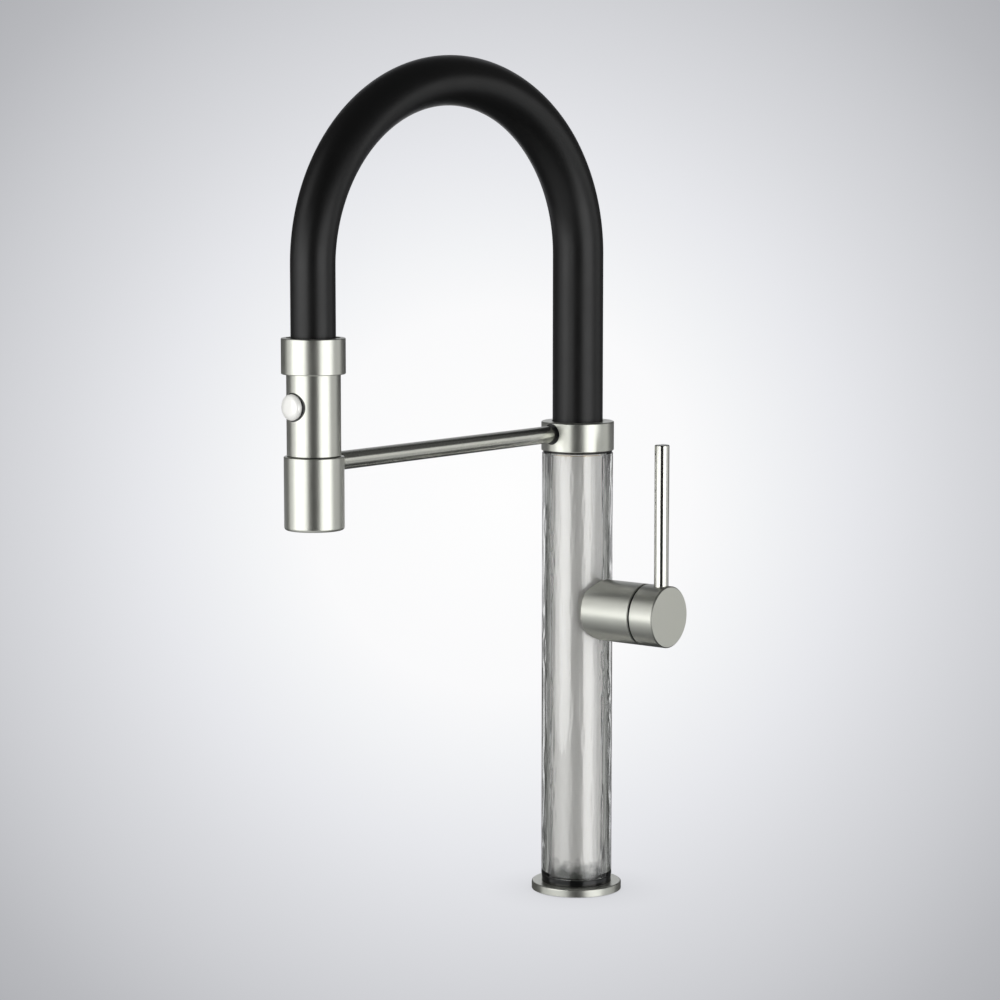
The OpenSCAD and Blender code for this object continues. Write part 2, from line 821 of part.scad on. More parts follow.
// a hollow hose along the stations, with radii given for each
module hose(places, outer, inner, sides) {
    n = len(places);
    points = concat(
        [for (i = [0:n - 1]) each ring_points(places[i], outer[i], sides)],
        [for (i = [0:n - 1]) each ring_points(places[i], inner[i], sides)]);
    faces = concat(
        skin(n, sides, 0, false),
        skin(n, sides, n * sides, true),
        rim(0, n * sides, sides, true),
        rim((n - 1) * sides, (2 * n - 1) * sides, sides, false));
    polyhedron(points = points, faces = faces);
}

module hose_cover() {
    places = stations(hose_start_z, hose_end_z, cover_steps);
    color(rubber)
    hose(places, [for (p = places) cover_r(p[2])], [for (p = places) cover_r(p[2]) - hose_wall],
        cover_sides);
}

nipple_flange_z = spigot_top + 0.2;
barb_z = nipple_flange_z + nipple_flange_h;
tail_flange_z = core_top + 0.1;
tail_barb_z = tail_flange_z + tail_flange_h;
nut_top = tail_barb_z + 0.15 + 2.1;

module water_hose() {
    places = stations(barb_z + 0.2, nut_top + 0.4, water_steps);
    color(steel)
    hose(places, [for (p = places) water_hose_d / 2], [for (p = places) water_bore_r], water_sides);
}

// The support spring is a helix wound round the arch. Its turns are counted along the two legs
// and the arch, so turns is a share of the whole winding for any place on it.
spring_low_z = hose_start_z + foot_neck_h + spring_wire_d / 2 + 0.3;
spring_end_z = hose_end_z + plug_neck_h + spring_wire_d / 2 + 0.3;
leg_turns_column = (arch_z - spring_low_z) / spring_pitch;
leg_turns_spray = (arch_z - spring_end_z) / spring_pitch;
spring_turns = leg_turns_column + spring_turns_arch + leg_turns_spray;

function spring_t(turn) = 180 * min(1, max(0, (turn - leg_turns_column) / spring_turns_arch));
function spring_axis(turn) =
    turn < leg_turns_column ? [0, 0, spring_low_z + turn * spring_pitch]
    : turn < leg_turns_column + spring_turns_arch ? arch_point(spring_t(turn))
    : [0, -reach, arch_z - (turn - leg_turns_column - spring_turns_arch) * spring_pitch];
function spring_out(turn) =
    let (way = arch_way(spring_t(turn)), across = [1, 0, 0], up = cross(way, across), a = 360 * turn)
    cos(a) * across + sin(a) * up;
function spring_r(turn) = cover_r(spring_t(turn)) - hose_wall - spring_wire_d / 2 - spring_clear;
function spring_point(turn) = spring_axis(turn) + spring_r(turn) * spring_out(turn);
function spring_way(turn) = let (v = spring_point(turn + 0.01) - spring_point(turn - 0.01)) v / norm(v);

module support_spring() {
    steps = round(spring_turns * spring_rings);
    turns = [for (i = [0:steps]) spring_turns * i / steps];
    rings = [for (turn = turns)
        let (out = spring_out(turn), way = spring_way(turn), side = cross(way, out))
        [for (k = [0:spring_sides - 1]) let (a = 360 * k / spring_sides)
            spring_point(turn) + spring_wire_d / 2 * (cos(a) * out + sin(a) * side)]];
    gaps = [for (turn = [0:0.25:spring_turns - 1])
        norm(spring_point(turn + 1) - spring_point(turn)) - spring_wire_d];
    echo(least_gap_between_spring_turns = min(gaps));
    n = len(rings);
    caps = [[for (k = [0:spring_sides - 1]) k],
            [for (k = [0:spring_sides - 1]) n * spring_sides - 1 - k]];
    color(steel)
    polyhedron(points = [for (r = rings) each r], faces = concat(skin(n, spring_sides, 0, false), caps));
}

// plug that the hose cover is pushed onto, in the collar's pocket
module hose_foot() {
    flange_top = hose_start_z;
    color(plastic)
    difference() {
        union() {
            rod(hose_d_column / 2 + 0.2, flange_top - foot_flange_h, flange_top);
            rod(hose_d_column / 2 - hose_wall - 0.2, flange_top - foot_flange_h, flange_top + foot_neck_h);
        }
        translate([0, 0, flange_top - foot_flange_h - 1]) cylinder(r = journal_r + clip_out + 0.1, h = 1.8);
        translate([0, 0, flange_top - foot_flange_h - 1])
            cylinder(r = nipple_flange_r + 0.1, h = foot_flange_h + 4);
        translate([0, 0, flange_top])
            cylinder(r = water_hose_d / 2 + ferrule_wall + 0.3, h = foot_neck_h + 1);
    }
}

// barbed end that the water hose is crimped onto; drawn upwards from the flange
module barbed_end(z, length) {
    rod(barb_r - 0.35, z, z + length);
    for (i = [0:3]) translate([0, 0, z + 3 + 3.4 * i]) cylinder(r1 = barb_r, r2 = barb_r - 0.3, h = 2.2);
}

module hose_nipple() {
    color(brass)
    difference() {
        union() {
            rod(plug_r, spigot_top - plug_len + 0.2, nipple_flange_z + 1);
            rod(nipple_flange_r, nipple_flange_z, barb_z);
            barbed_end(barb_z, barb_len);
        }
        translate([0, 0, spigot_top - plug_len - 1])
            cylinder(r = water_r - 0.4, h = plug_len + barb_len + 5);
        tube(seal_orbit - seal_wire_r, plug_r + 1, nipple_seal_z - seal_wire_r - 0.05,
            nipple_seal_z + seal_wire_r + 0.05);
    }
}

nipple_seal_z = spigot_top - plug_len / 2;

module nipple_seal() {
    color(rubber) torus(seal_orbit, seal_wire_r - 0.02, nipple_seal_z);
}

module hose_ferrule() {
    color(steel)
    tube(water_hose_d / 2 + 0.03, water_hose_d / 2 + ferrule_wall, barb_z + 1, barb_z + 1 + ferrule_len);
}

// ---------------------------------------------------------------- hose end in the spray head

tail_seal_z = core_top - tail_plug_len / 2;

module hose_tail() {
    color(brass)
    on_spray_axis() difference() {
        union() {
            rod(plug_r, core_top - tail_plug_len, tail_flange_z + 1);
            rod(tail_flange_r, tail_flange_z, tail_barb_z);
            barbed_end(tail_barb_z, nut_top + 16 - tail_barb_z);
        }
        translate([0, 0, core_top - tail_plug_len - 1])
            cylinder(r = water_r - 0.4, h = tail_plug_len + barb_len + 4);
        tube(seal_orbit - seal_wire_r, plug_r + 1, tail_seal_z - seal_wire_r - 0.05,
            tail_seal_z + seal_wire_r + 0.05);
    }
}

module tail_seal() {
    color(rubber) on_spray_axis() torus(seal_orbit, seal_wire_r - 0.02, tail_seal_z);
}

module tail_ferrule() {
    color(steel)
    on_spray_axis()
        tube(water_hose_d / 2 + 0.03, water_hose_d / 2 + ferrule_wall, nut_top + 0.8,
            nut_top + 0.8 + ferrule_len);
}

module cover_plug() {
    bore = water_hose_d / 2 + ferrule_wall + 0.25;
    color(plastic)
    on_spray_axis() {
        tube(bore, hose_d_spray / 2 - 0.1, hose_end_z - plug_flange_h - 0.1, hose_end_z - 0.1);
        tube(bore, hose_d_spray / 2 - hose_wall - 0.2, hose_end_z - 1, hose_end_z + plug_neck_h);
    }
}

// ---------------------------------------------------------------- spray head

module spray_ring() {
    color(nickel)
    on_spray_axis() difference() {
        turned_ring(spray_d / 2 + fit_gap, spray_ring_d / 2, ring_z, ring_top, 0.5, 0.6);
    }
    color(nickel)
    on_spray_axis()
        tube(hose_d_spray / 2 + 0.6, spray_d / 2 + 0.2, shell_top + fit_gap, ring_top - 0.6);
}

module spray_body() {
    color(nickel)
    difference() {
        on_spray_axis() rotate_extrude()
            polygon([[dock_bore_r, nozzle_z], [dock_r - 0.5, nozzle_z], [dock_r, nozzle_z + 0.5],
                     [dock_r, spray_joint_z], [spray_d / 2 - joint_edge, spray_joint_z],
                     [spray_d / 2, spray_joint_z + joint_edge], [spray_d / 2, shell_top],
                     [spray_bore_r, shell_top], [spray_bore_r, spray_joint_z + 2],
                     [dock_bore_r, spray_joint_z + 2]]);
        on_button_axis() cylinder(r = button_r + button_gap, h = spray_d);
    }
}

module spray_core() {
    color(white_plastic)
    difference() {
        on_spray_axis() {
            rod(dock_bore_r - fit_gap, core_low, spray_joint_z + 3);
            rod(core_r, spray_joint_z + 2 + fit_gap, core_top - core_neck_h);
            rod(core_neck_r, spray_joint_z + 3, core_top);
        }
        on_spray_axis() {
            translate([0, 0, core_low - 1]) cylinder(r = water_r, h = spray_h + holder_h);
            translate([0, 0, core_top - tail_plug_len - 0.3]) cylinder(r = socket_r, h = tail_plug_len + 1);
            translate([0, 0, core_low - 1]) cylinder(r = dock_bore_r - 2.5, h = 13);
        }
        on_button_axis() {
            translate([0, 0, button_pocket]) cylinder(r = button_r + button_gap, h = spray_d);
            translate([0, 0, plunger_in - 1.8]) cylinder(r = plunger_r + run_gap, h = spray_d);
        }
    }
}

module union_nut() {
    nut_low = core_top - core_neck_h + 0.3;
    color(brass)
    on_spray_axis() {
        tube(core_neck_r + fit_gap, core_neck_r + nut_wall, nut_low, tail_barb_z + 0.15);
        tube(barb_r + 1, core_neck_r + nut_wall, tail_barb_z + 0.15, nut_top);
    }
}

module at_nozzles() {
    for (i = [0:nozzles_outer - 1]) rotate([0, 0, 360 * i / nozzles_outer])
        translate([dock_bore_r - 1.6, 0, 0]) children();
    for (i = [0:nozzles_inner - 1]) rotate([0, 0, 360 * i / nozzles_inner])
        translate([dock_bore_r - 3.9, 0, 0]) children();
}

// soft face whose nipples shed limescale when rubbed
module nozzle_face() {
    color(rubber)
    on_spray_axis() difference() {
        union() {
            tube(aerator_r + fit_gap, dock_bore_r - fit_gap, nozzle_z + 1.2, nozzle_z + 1.2 + face_h);
            at_nozzles() translate([0, 0, nozzle_z + 1.2 - nozzle_h])
                cylinder(r = nozzle_r, h = nozzle_h + 1, $fn = 24);
        }
        at_nozzles() translate([0, 0, nozzle_z - 1]) cylinder(r = nozzle_bore_r, h = face_h + 5, $fn = 16);
    }
}

module aerator() {
    hole = 0.62;
    step = 1.75;
    color(white_plastic)
    on_spray_axis() difference() {
        rod(aerator_r, nozzle_z + 0.9, core_low + 2);
        for (i = [-3:3], j = [-3:3])
            let (x = step * (i + j / 2), y = step * j * sin(60))
            if (norm([x, y]) < aerator_r - 1.4)
                translate([x, y, nozzle_z]) cylinder(r = hole, h = core_low, $fn = 16);
    }
}

module spray_button() {
    low = button_face - button_skirt;
    color(polished)
    on_button_axis() difference() {
        rotate_extrude()
            polygon(concat(
                [[0, low], [button_r, low]],
                corner([button_r - button_edge_r, button_face - button_edge_r], button_edge_r, 0),
                [[0, button_face]]));
        translate([0, 0, low - 1]) cylinder(r = button_coil_r + 1.1, h = button_skirt - 1);
    }
}

module button_plunger() {
    color(plastic)
    on_button_axis()
        translate([0, 0, plunger_in]) cylinder(r = plunger_r, h = button_face - 2 - plunger_in - fit_gap);
}

// return spring between the core and the button
module button_spring() {
    low = button_pocket + button_wire_r + 0.05;
    high = button_face - 2 - button_wire_r - 0.05;
    turns = 3;
    sides = 6;
    rings = 10 * turns;
    centre = function (i) [button_coil_r * cos(36 * i), button_coil_r * sin(36 * i),
        low + (high - low) * i / rings];
    points = [for (i = [0:rings], k = [0:sides - 1])
        let (a = 360 * k / sides, out = [cos(36 * i), sin(36 * i), 0])
        centre(i) + button_wire_r * (cos(a) * out + sin(a) * [0, 0, 1])];
    caps = [[for (k = [0:sides - 1]) sides - 1 - k], [for (k = [0:sides - 1]) rings * sides + k]];
    color(steel)
    on_button_axis() polyhedron(points = points, faces = concat(skin(rings + 1, sides, 0, true), caps));
}

base_flange();
base_seal();
column_tube();
foot_block();
inlet_pipes();
manifold();
riser_pipe();
sleeve_seat();
glass_sleeve();
sleeve_gasket();
swivel_spigot();
stop_pin();
valve_housing();
cartridge_body();
cartridge_seals();
fixed_disc();
cartridge_nut();
glide_ring();
moving_disc();
spindle();
handle_cap();
lever();
handle_screw();
arm_collar();
swivel_bush();
swivel_washer();
swivel_clip();
bar();
bar_screw();
holder();
holder_screw();
holder_liner();
hose_foot();
hose_nipple();
nipple_seal();
hose_ferrule();
hose_cover();
support_spring();
water_hose();
hose_tail();
tail_seal();
tail_ferrule();
cover_plug();
spray_ring();
spray_body();
spray_core();
union_nut();
nozzle_face();
aerator();
spray_button();
button_plunger();
button_spring();
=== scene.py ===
import json
import math

import bmesh
import bpy
from mathutils import Matrix, Vector


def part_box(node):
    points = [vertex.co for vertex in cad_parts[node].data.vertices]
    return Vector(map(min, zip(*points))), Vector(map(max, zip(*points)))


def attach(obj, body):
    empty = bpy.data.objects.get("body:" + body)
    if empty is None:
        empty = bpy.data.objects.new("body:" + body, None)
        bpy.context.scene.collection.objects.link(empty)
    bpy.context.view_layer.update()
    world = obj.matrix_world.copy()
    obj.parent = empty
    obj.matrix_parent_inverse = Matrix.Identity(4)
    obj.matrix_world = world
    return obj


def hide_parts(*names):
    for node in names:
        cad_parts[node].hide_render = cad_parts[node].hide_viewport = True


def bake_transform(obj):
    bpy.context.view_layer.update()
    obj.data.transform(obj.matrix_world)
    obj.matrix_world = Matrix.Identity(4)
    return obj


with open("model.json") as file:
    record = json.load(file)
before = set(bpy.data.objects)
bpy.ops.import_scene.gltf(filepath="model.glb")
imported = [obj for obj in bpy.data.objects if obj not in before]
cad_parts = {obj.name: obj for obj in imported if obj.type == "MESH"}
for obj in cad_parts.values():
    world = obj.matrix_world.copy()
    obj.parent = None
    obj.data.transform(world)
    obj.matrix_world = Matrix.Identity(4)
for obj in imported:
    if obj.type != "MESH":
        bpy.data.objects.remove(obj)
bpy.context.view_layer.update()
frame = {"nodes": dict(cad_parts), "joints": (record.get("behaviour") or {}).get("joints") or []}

MM = 0.001

# ---------------------------------------------------------------- sizes from the frame

sleeve_low, sleeve_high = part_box("glass_sleeve")
sleeve_r = sleeve_high.x
valve_low, valve_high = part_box("handle_cap")
valve_z = (valve_high.z + valve_low.z) / 2
holder_low, holder_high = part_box("holder")
spray_y = (holder_low.y + holder_high.y) / 2
hose_low, hose_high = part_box("hose_cover")
button_low, button_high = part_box("spray_button")
button_z = (button_low.z + button_high.z) / 2

COLUMN = (0, 0, 0)
SPRAY = (0, spray_y, 0)
VALVE = (0, 0, valve_z)
bar_low, bar_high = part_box("bar")
BAR = Vector((0, 0, (bar_low.z + bar_high.z) / 2))
BUTTON = Vector((0, spray_y, button_z))


# ---------------------------------------------------------------- materials

def linear(colour):
    """An sRGB hex colour as linear red, green, blue and alpha."""
    parts = [int(colour[i:i + 2], 16) / 255 for i in (1, 3, 5)]
    return [p / 12.92 if p <= 0.04045 else ((p + 0.055) / 1.055) ** 2.4 for p in parts] + [1]


def add(tree, kind, inputs=None, stops=None, **settings):
    """Adds a shader node.

    Inputs are a list in the node's own order, or a dictionary by name or place: each is a number, a
    colour or another node's output. A Map Range lists its value, from low, from high, to low, to high.
    A colour Mix has its share at 0 and its colours at 6 and 7. A ramp's stops are (position, grey hex).
    """
    made = tree.nodes.new("ShaderNode" + kind)
    for name, value in settings.items():
        setattr(made, name, value)
    for name, value in enumerate(inputs) if isinstance(inputs, list) else (inputs or {}).items():
        if isinstance(value, bpy.types.NodeSocket):
            tree.links.new(value, made.inputs[name])
        else:
            made.inputs[name].default_value = value
    if stops:
        points = made.color_ramp.elements
        points[0].position, points[0].color = stops[0][0], linear(stops[0][1])
        points[1].position, points[1].color = stops[-1][0], linear(stops[-1][1])
        for position, colour in stops[1:-1]:
            points.new(position).color = linear(colour)
    return made


def new_material(name):
    """An empty material and its node tree."""
    made = bpy.data.materials.new(name)
    made.use_nodes = True
    made.node_tree.nodes.clear()
    return made, made.node_tree


def around_axis(tree, centre, axis, across_mm, along):
    """Coordinates for lines that run round an axis, on the sides and on the end faces."""
    turn = {"X": (0, -math.pi / 2, 0), "Y": (math.pi / 2, 0, 0), "Z": (0, 0, 0)}[axis]
    place = add(tree, "TexCoord")
    moved = add(tree, "VectorMath", [place.outputs["Object"], centre], operation="SUBTRACT")
    turned = add(tree, "VectorRotate", {"Vector": moved.outputs[0], "Rotation": turn},
                 rotation_type="EULER_XYZ")
    flat = add(tree, "VectorMath", [turned.outputs[0], (1, 1, 0)], operation="MULTIPLY")
    round_it = add(tree, "VectorMath", [flat.outputs[0]], operation="NORMALIZE")
    slow = add(tree, "VectorMath", {0: round_it.outputs[0], "Scale": along}, operation="SCALE")
    height = add(tree, "SeparateXYZ", [turned.outputs[0]])
    radius = add(tree, "VectorMath", [flat.outputs[0]], operation="LENGTH")
    reach = add(tree, "Math", [height.outputs["Z"], radius.outputs["Value"]], operation="ADD")
    fast = add(tree, "Math", [reach.outputs[0], 1 / (across_mm * MM)], operation="MULTIPLY")
    lift = add(tree, "CombineXYZ", {2: fast.outputs[0]})
    return add(tree, "VectorMath", [slow.outputs[0], lift.outputs[0]], operation="ADD").outputs[0]


FACED_END = (0.9, 0.98)             # how squarely a surface faces along the axis before it is a faced end


def brushed_nickel(name, centre, axis, side_rough=0.3, face_rough=0.3):
    """Satin nickel plate, brushed on the lathe: rings 0.25 mm wide round the axis, and faced ends made paler
    by a painted highlight.
    """
    made, tree = new_material(name)
    brushing = around_axis(tree, centre, axis, across_mm=0.25, along=1.2)
    rings = add(tree, "TexNoise", {"Vector": brushing, "Scale": 1.0, "Detail": 3.0})
    place = add(tree, "TexCoord")
    clouds = add(tree, "TexNoise", {"Vector": place.outputs["Object"], "Scale": 1 / (9 * MM), "Detail": 2.0})
    both = add(tree, "Math", [rings.outputs[0], clouds.outputs[0]], operation="MULTIPLY")
    rough = add(tree, "MapRange", [both.outputs[0], 0.1, 0.45, 0.0, 0.05])
    sides = add(tree, "SeparateXYZ", [place.outputs["Normal"]])
    across = add(tree, "Math", [sides.outputs[axis]], operation="ABSOLUTE")
    base = add(tree, "MapRange", [across.outputs[0], *FACED_END, side_rough, face_rough])
    rough = add(tree, "Math", [rough.outputs[0], base.outputs[0]], operation="ADD")
    tint = add(tree, "Mix", {0: clouds.outputs[0], 6: linear("#C9CAC1"), 7: linear("#CFD0C8")},
               data_type="RGBA")
    # painted highlight: the faced ends get a paler colour so that they look more lit
    painted_end_highlight = add(tree, "MapRange", [across.outputs[0], *FACED_END, 0.0, 1.0])
    tint = add(tree, "Mix", {0: painted_end_highlight.outputs[0], 6: tint.outputs[2], 7: linear("#E3E4DA")}, data_type="RGBA")
    bump = add(tree, "Bump", {"Height": rings.outputs[0], "Strength": 0.05, "Distance": 0.01 * MM})
    shader = add(tree, "BsdfPrincipled", {
        "Base Color": tint.outputs[2], "Metallic": 1.0, "Roughness": rough.outputs[0],
        "Normal": bump.outputs[0]})
    add(tree, "OutputMaterial", {"Surface": shader.outputs[0]})
    return made


def satin_button():
    """Satin chrome on plastic under clear lacquer: pale and soft, more matt than mirror."""
    made, tree = new_material("satin_button")
    place = add(tree, "TexCoord")
    clouds = add(tree, "TexNoise", {"Vector": place.outputs["Object"], "Scale": 1 / (3 * MM), "Detail": 2.0})
    rough = add(tree, "MapRange", [clouds.outputs[0], 0.3, 0.7, 0.33, 0.38])
    shader = add(tree, "BsdfPrincipled", {
        "Base Color": linear("#F4F4F0"), "Metallic": 0.3, "Roughness": rough.outputs[0]})
    add(tree, "OutputMaterial", {"Surface": shader.outputs[0]})
    return made


def matt_drawn_tube():
    """Matt lacquered nickel tube: drawing marks 4 by 45 mm, and a painted shade that darkens the foot by its
    dark seat.
    """
    made, tree = new_material("matt_drawn_nickel")
    place = add(tree, "TexCoord")
    mark_size = (1 / (4 * MM), 1 / (4 * MM), 1 / (45 * MM))
    long_marks = add(tree, "VectorMath", [place.outputs["Object"], mark_size], operation="MULTIPLY")
    marks = add(tree, "TexNoise", {
        "Vector": long_marks.outputs[0], "Scale": 1.0, "Detail": 2.0, "Distortion": 0.6})
    clouds = add(tree, "TexNoise", {"Vector": place.outputs["Object"], "Scale": 1 / (5 * MM), "Detail": 2.0})
    bump = add(tree, "Bump", {"Height": marks.outputs[0], "Strength": 0.5, "Distance": 0.5 * MM})
    # painted shade: the foot is darkened, with a ragged edge, for the shade and dark reflection of the seat
    height = add(tree, "SeparateXYZ", [place.outputs["Object"]])
    edge = add(tree, "Math", [clouds.outputs[0], 12 * MM], operation="MULTIPLY")
    edge = add(tree, "Math", [height.outputs["Z"], edge.outputs[0]], operation="SUBTRACT")
    painted_foot_shade = add(tree, "MapRange", [edge.outputs[0], 6 * MM, 14 * MM, 1.0, 0.0])
    pale = add(tree, "Mix", {0: marks.outputs[0], 6: linear("#EFEEEA"), 7: linear("#FAF9F6")},
               data_type="RGBA")
    tint = add(tree, "Mix", {0: painted_foot_shade.outputs[0], 6: pale.outputs[2], 7: linear("#6A6C68")}, data_type="RGBA")
    shader = add(tree, "BsdfPrincipled", {
        "Base Color": tint.outputs[2], "Metallic": 0.34, "Roughness": 0.42, "Normal": bump.outputs[0]})
    add(tree, "OutputMaterial", {"Surface": shader.outputs[0]})
    return made


def polished_nickel():
    """Polished nickel plate: a mirror with a faint haze, so the lamps show as clean stripes."""
    made, tree = new_material("polished_nickel")
    place = add(tree, "TexCoord")
    haze = add(tree, "TexNoise", {"Vector": place.outputs["Object"], "Scale": 1 / (6 * MM), "Detail": 3.0})
    rough = add(tree, "MapRange", [haze.outputs[0], 0.3, 0.7, 0.15, 0.16])
    shader = add(tree, "BsdfPrincipled", {
        "Base Color": linear("#D2D2CB"), "Metallic": 1.0, "Roughness": rough.outputs[0]})
    add(tree, "OutputMaterial", {"Surface": shader.outputs[0]})
    return made


def clear_glass():
    """Clear soda-lime glass, fire polished outside: almost no colour of its own."""
    made, tree = new_material("clear_glass")
    shader = add(tree, "BsdfPrincipled", {
        "Base Color": linear("#FDFDFC"), "Roughness": 0.0, "IOR": 1.5, "Transmission Weight": 1.0})
    add(tree, "OutputMaterial", {"Surface": shader.outputs[0]})
    return made


def silicone_rubber():
    """Black silicone hose cover, moulded smooth: near black with a broad soft sheen."""
    made, tree = new_material("silicone_rubber")
    place = add(tree, "TexCoord")
    skin = add(tree, "TexNoise", {"Vector": place.outputs["Object"], "Scale": 1 / (0.5 * MM), "Detail": 2.0})
    clouds = add(tree, "TexNoise", {"Vector": place.outputs["Object"], "Scale": 1 / (14 * MM), "Detail": 2.0})
    rough = add(tree, "MapRange", [clouds.outputs[0], 0.3, 0.7, 0.37, 0.41])
    tint = add(tree, "Mix", {0: clouds.outputs[0], 6: linear("#050505"), 7: linear("#070707")},
               data_type="RGBA")
    bump = add(tree, "Bump", {"Height": skin.outputs[0], "Strength": 0.15, "Distance": 0.02 * MM})
    shader = add(tree, "BsdfPrincipled", {
        "Base Color": tint.outputs[2], "Roughness": rough.outputs[0], "Normal": bump.outputs[0],
        "Specular IOR Level": 0.43})
    add(tree, "OutputMaterial", {"Surface": shader.outputs[0]})
    return made


def seal_rubber():
    """Black nitrile rubber, pressed in a polished mould: dark, with small clear reflections."""
    made, tree = new_material("seal_rubber")
    place = add(tree, "TexCoord")
    skin = add(tree, "TexNoise", {"Vector": place.outputs["Object"], "Scale": 1 / (1.5 * MM), "Detail": 3.0})
    rough = add(tree, "MapRange", [skin.outputs[0], 0.3, 0.7, 0.12, 0.2])
    shader = add(tree, "BsdfPrincipled", {"Base Color": linear("#0E0F0F"), "Roughness": rough.outputs[0]})
    add(tree, "OutputMaterial", {"Surface": shader.outputs[0]})
    return made


def moulded_plastic(name, colour):
    """Injection moulded acetal or ABS: a fine spark-eroded grain and a low gloss."""
    made, tree = new_material(name)
    place = add(tree, "TexCoord")
    grain = add(tree, "TexNoise", {"Vector": place.outputs["Object"], "Scale": 1 / (0.4 * MM), "Detail": 2.0})
    rough = add(tree, "MapRange", [grain.outputs[0], 0.3, 0.7, 0.4, 0.52])
    bump = add(tree, "Bump", {"Height": grain.outputs[0], "Strength": 0.2, "Distance": 0.02 * MM})
    shader = add(tree, "BsdfPrincipled", {
        "Base Color": linear(colour), "Roughness": rough.outputs[0], "Normal": bump.outputs[0]})
    add(tree, "OutputMaterial", {"Surface": shader.outputs[0]})
    return made


def machined_metal(name, colour, low, high):
    """Turned brass, steel or copper: tool marks about 0.8 mm across that only change the gloss."""
    made, tree = new_material(name)
    place = add(tree, "TexCoord")
    marks = add(tree, "TexNoise", {"Vector": place.outputs["Object"], "Scale": 1 / (0.8 * MM), "Detail": 3.0})
    rough = add(tree, "MapRange", [marks.outputs[0], 0.3, 0.7, low, high])
    shader = add(tree, "BsdfPrincipled", {
        "Base Color": linear(colour), "Metallic": 1.0, "Roughness": rough.outputs[0]})
    add(tree, "OutputMaterial", {"Surface": shader.outputs[0]})
    return made


def lapped_ceramic():
    """Alumina disc, lapped flat: off-white with a faint mottle."""
    made, tree = new_material("lapped_ceramic")
    place = add(tree, "TexCoord")
    mottle = add(tree, "TexNoise", {"Vector": place.outputs["Object"], "Scale": 1 / (2 * MM), "Detail": 2.0})
    tint = add(tree, "Mix", {0: mottle.outputs[0], 6: linear("#EDEBE2"), 7: linear("#F4F3EC")},
               data_type="RGBA")
    shader = add(tree, "BsdfPrincipled", {"Base Color": tint.outputs[2], "Roughness": 0.15})
    add(tree, "OutputMaterial", {"Surface": shader.outputs[0]})
    return made


# ---------------------------------------------------------------- making pieces

def smooth_with_creases(mesh, crease=35):
    """Smooth shading that stops at edges sharper than the crease angle."""
    mesh.shade_smooth()
    mesh.set_sharp_from_angle(angle=math.radians(crease))


def finish_piece(name, shape, body, material, replaces, crease=35):
    """Turns a bmesh into a piece: smooth with sharp creases, on its body, in place of CAD nodes."""
    mesh = bpy.data.meshes.new(name)
    shape.to_mesh(mesh)
    shape.free()
    smooth_with_creases(mesh, crease)
    mesh.materials.append(material)
    piece = bpy.data.objects.new(name, mesh)
    bpy.context.scene.collection.objects.link(piece)
    if body:
        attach(piece, body)
    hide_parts(*replaces)
    return piece


def spun(outline, steps):
    """A closed outline of (radius, height) points spun round the Z axis."""
    shape = bmesh.new()
    corners = [shape.verts.new((radius, 0, height)) for radius, height in outline]
    sides = [shape.edges.new(pair) for pair in zip(corners, corners[1:] + corners[:1])]
    bmesh.ops.spin(shape, geom=corners + sides, cent=(0, 0, 0), axis=(0, 0, 1), dvec=(0, 0, 0),
                   angle=math.tau, steps=steps, use_merge=True, use_duplicate=False)
    bmesh.ops.remove_doubles(shape, verts=shape.verts, dist=0.0005 * MM)
    bmesh.ops.recalc_face_normals(shape, faces=shape.faces)
    return shape


def rounded(radius, height, size, start, stop, steps=8):
    """Points of a rounded edge in an outline: its centre, its size and its two angles in degrees."""
    angles = [math.radians(start + (stop - start) * i / steps) for i in range(steps + 1)]
    return [(radius + size * math.cos(a), height + size * math.sin(a)) for a in angles]


def cut_away(piece, tool, operation="DIFFERENCE"):
    """Cuts the piece with the tool's mesh and keeps the result as the piece's mesh."""
    cut = piece.modifiers.new("cut", "BOOLEAN")
    cut.operation = operation
    cut.object = tool
    cut.solver = "EXACT"
    bpy.context.view_layer.update()
    result = bpy.data.meshes.new_from_object(piece.evaluated_get(bpy.context.evaluated_depsgraph_get()))
    piece.modifiers.clear()
    piece.data = result
    smooth_with_creases(result)
    bpy.data.objects.remove(tool)


def rod_tool(radius, low, high, axis_turn, centre):
    """A plain rod that only cuts: from low to high along its axis."""
    shape = bmesh.new()
    bmesh.ops.create_cone(shape, cap_ends=True, cap_tris=False, segments=160, radius1=radius,
                          radius2=radius, depth=high - low)
    bmesh.ops.translate(shape, verts=shape.verts, vec=(0, 0, (low + high) / 2))
    bmesh.ops.rotate(shape, verts=shape.verts, cent=(0, 0, 0), matrix=axis_turn)
    bmesh.ops.translate(shape, verts=shape.verts, vec=centre)
    mesh = bpy.data.meshes.new("tool")
    shape.to_mesh(mesh)
    shape.free()
    tool = bpy.data.objects.new("tool", mesh)
    bpy.context.scene.collection.objects.link(tool)
    return tool


ALONG_X = Matrix.Rotation(math.pi / 2, 3, "Y")
ALONG_Y = Matrix.Rotation(math.pi / 2, 3, "X")
ALONG_Z = Matrix.Identity(3)

# ---------------------------------------------------------------- glass sleeve

SLEEVE_BORE = sleeve_r - 5.5 * MM
SLEEVE_EDGE = 0.6 * MM
STEM_HOLE = 10.5 * MM               # for the stem of the valve, which is hidden by its housing
HOLE_START = 4.2 * MM               # from the column's axis, inside the bore
RIPPLE_DEPTH = 0.055 * MM
RIPPLES_ROUND = 33
RIPPLE_LENGTH = 47 * MM


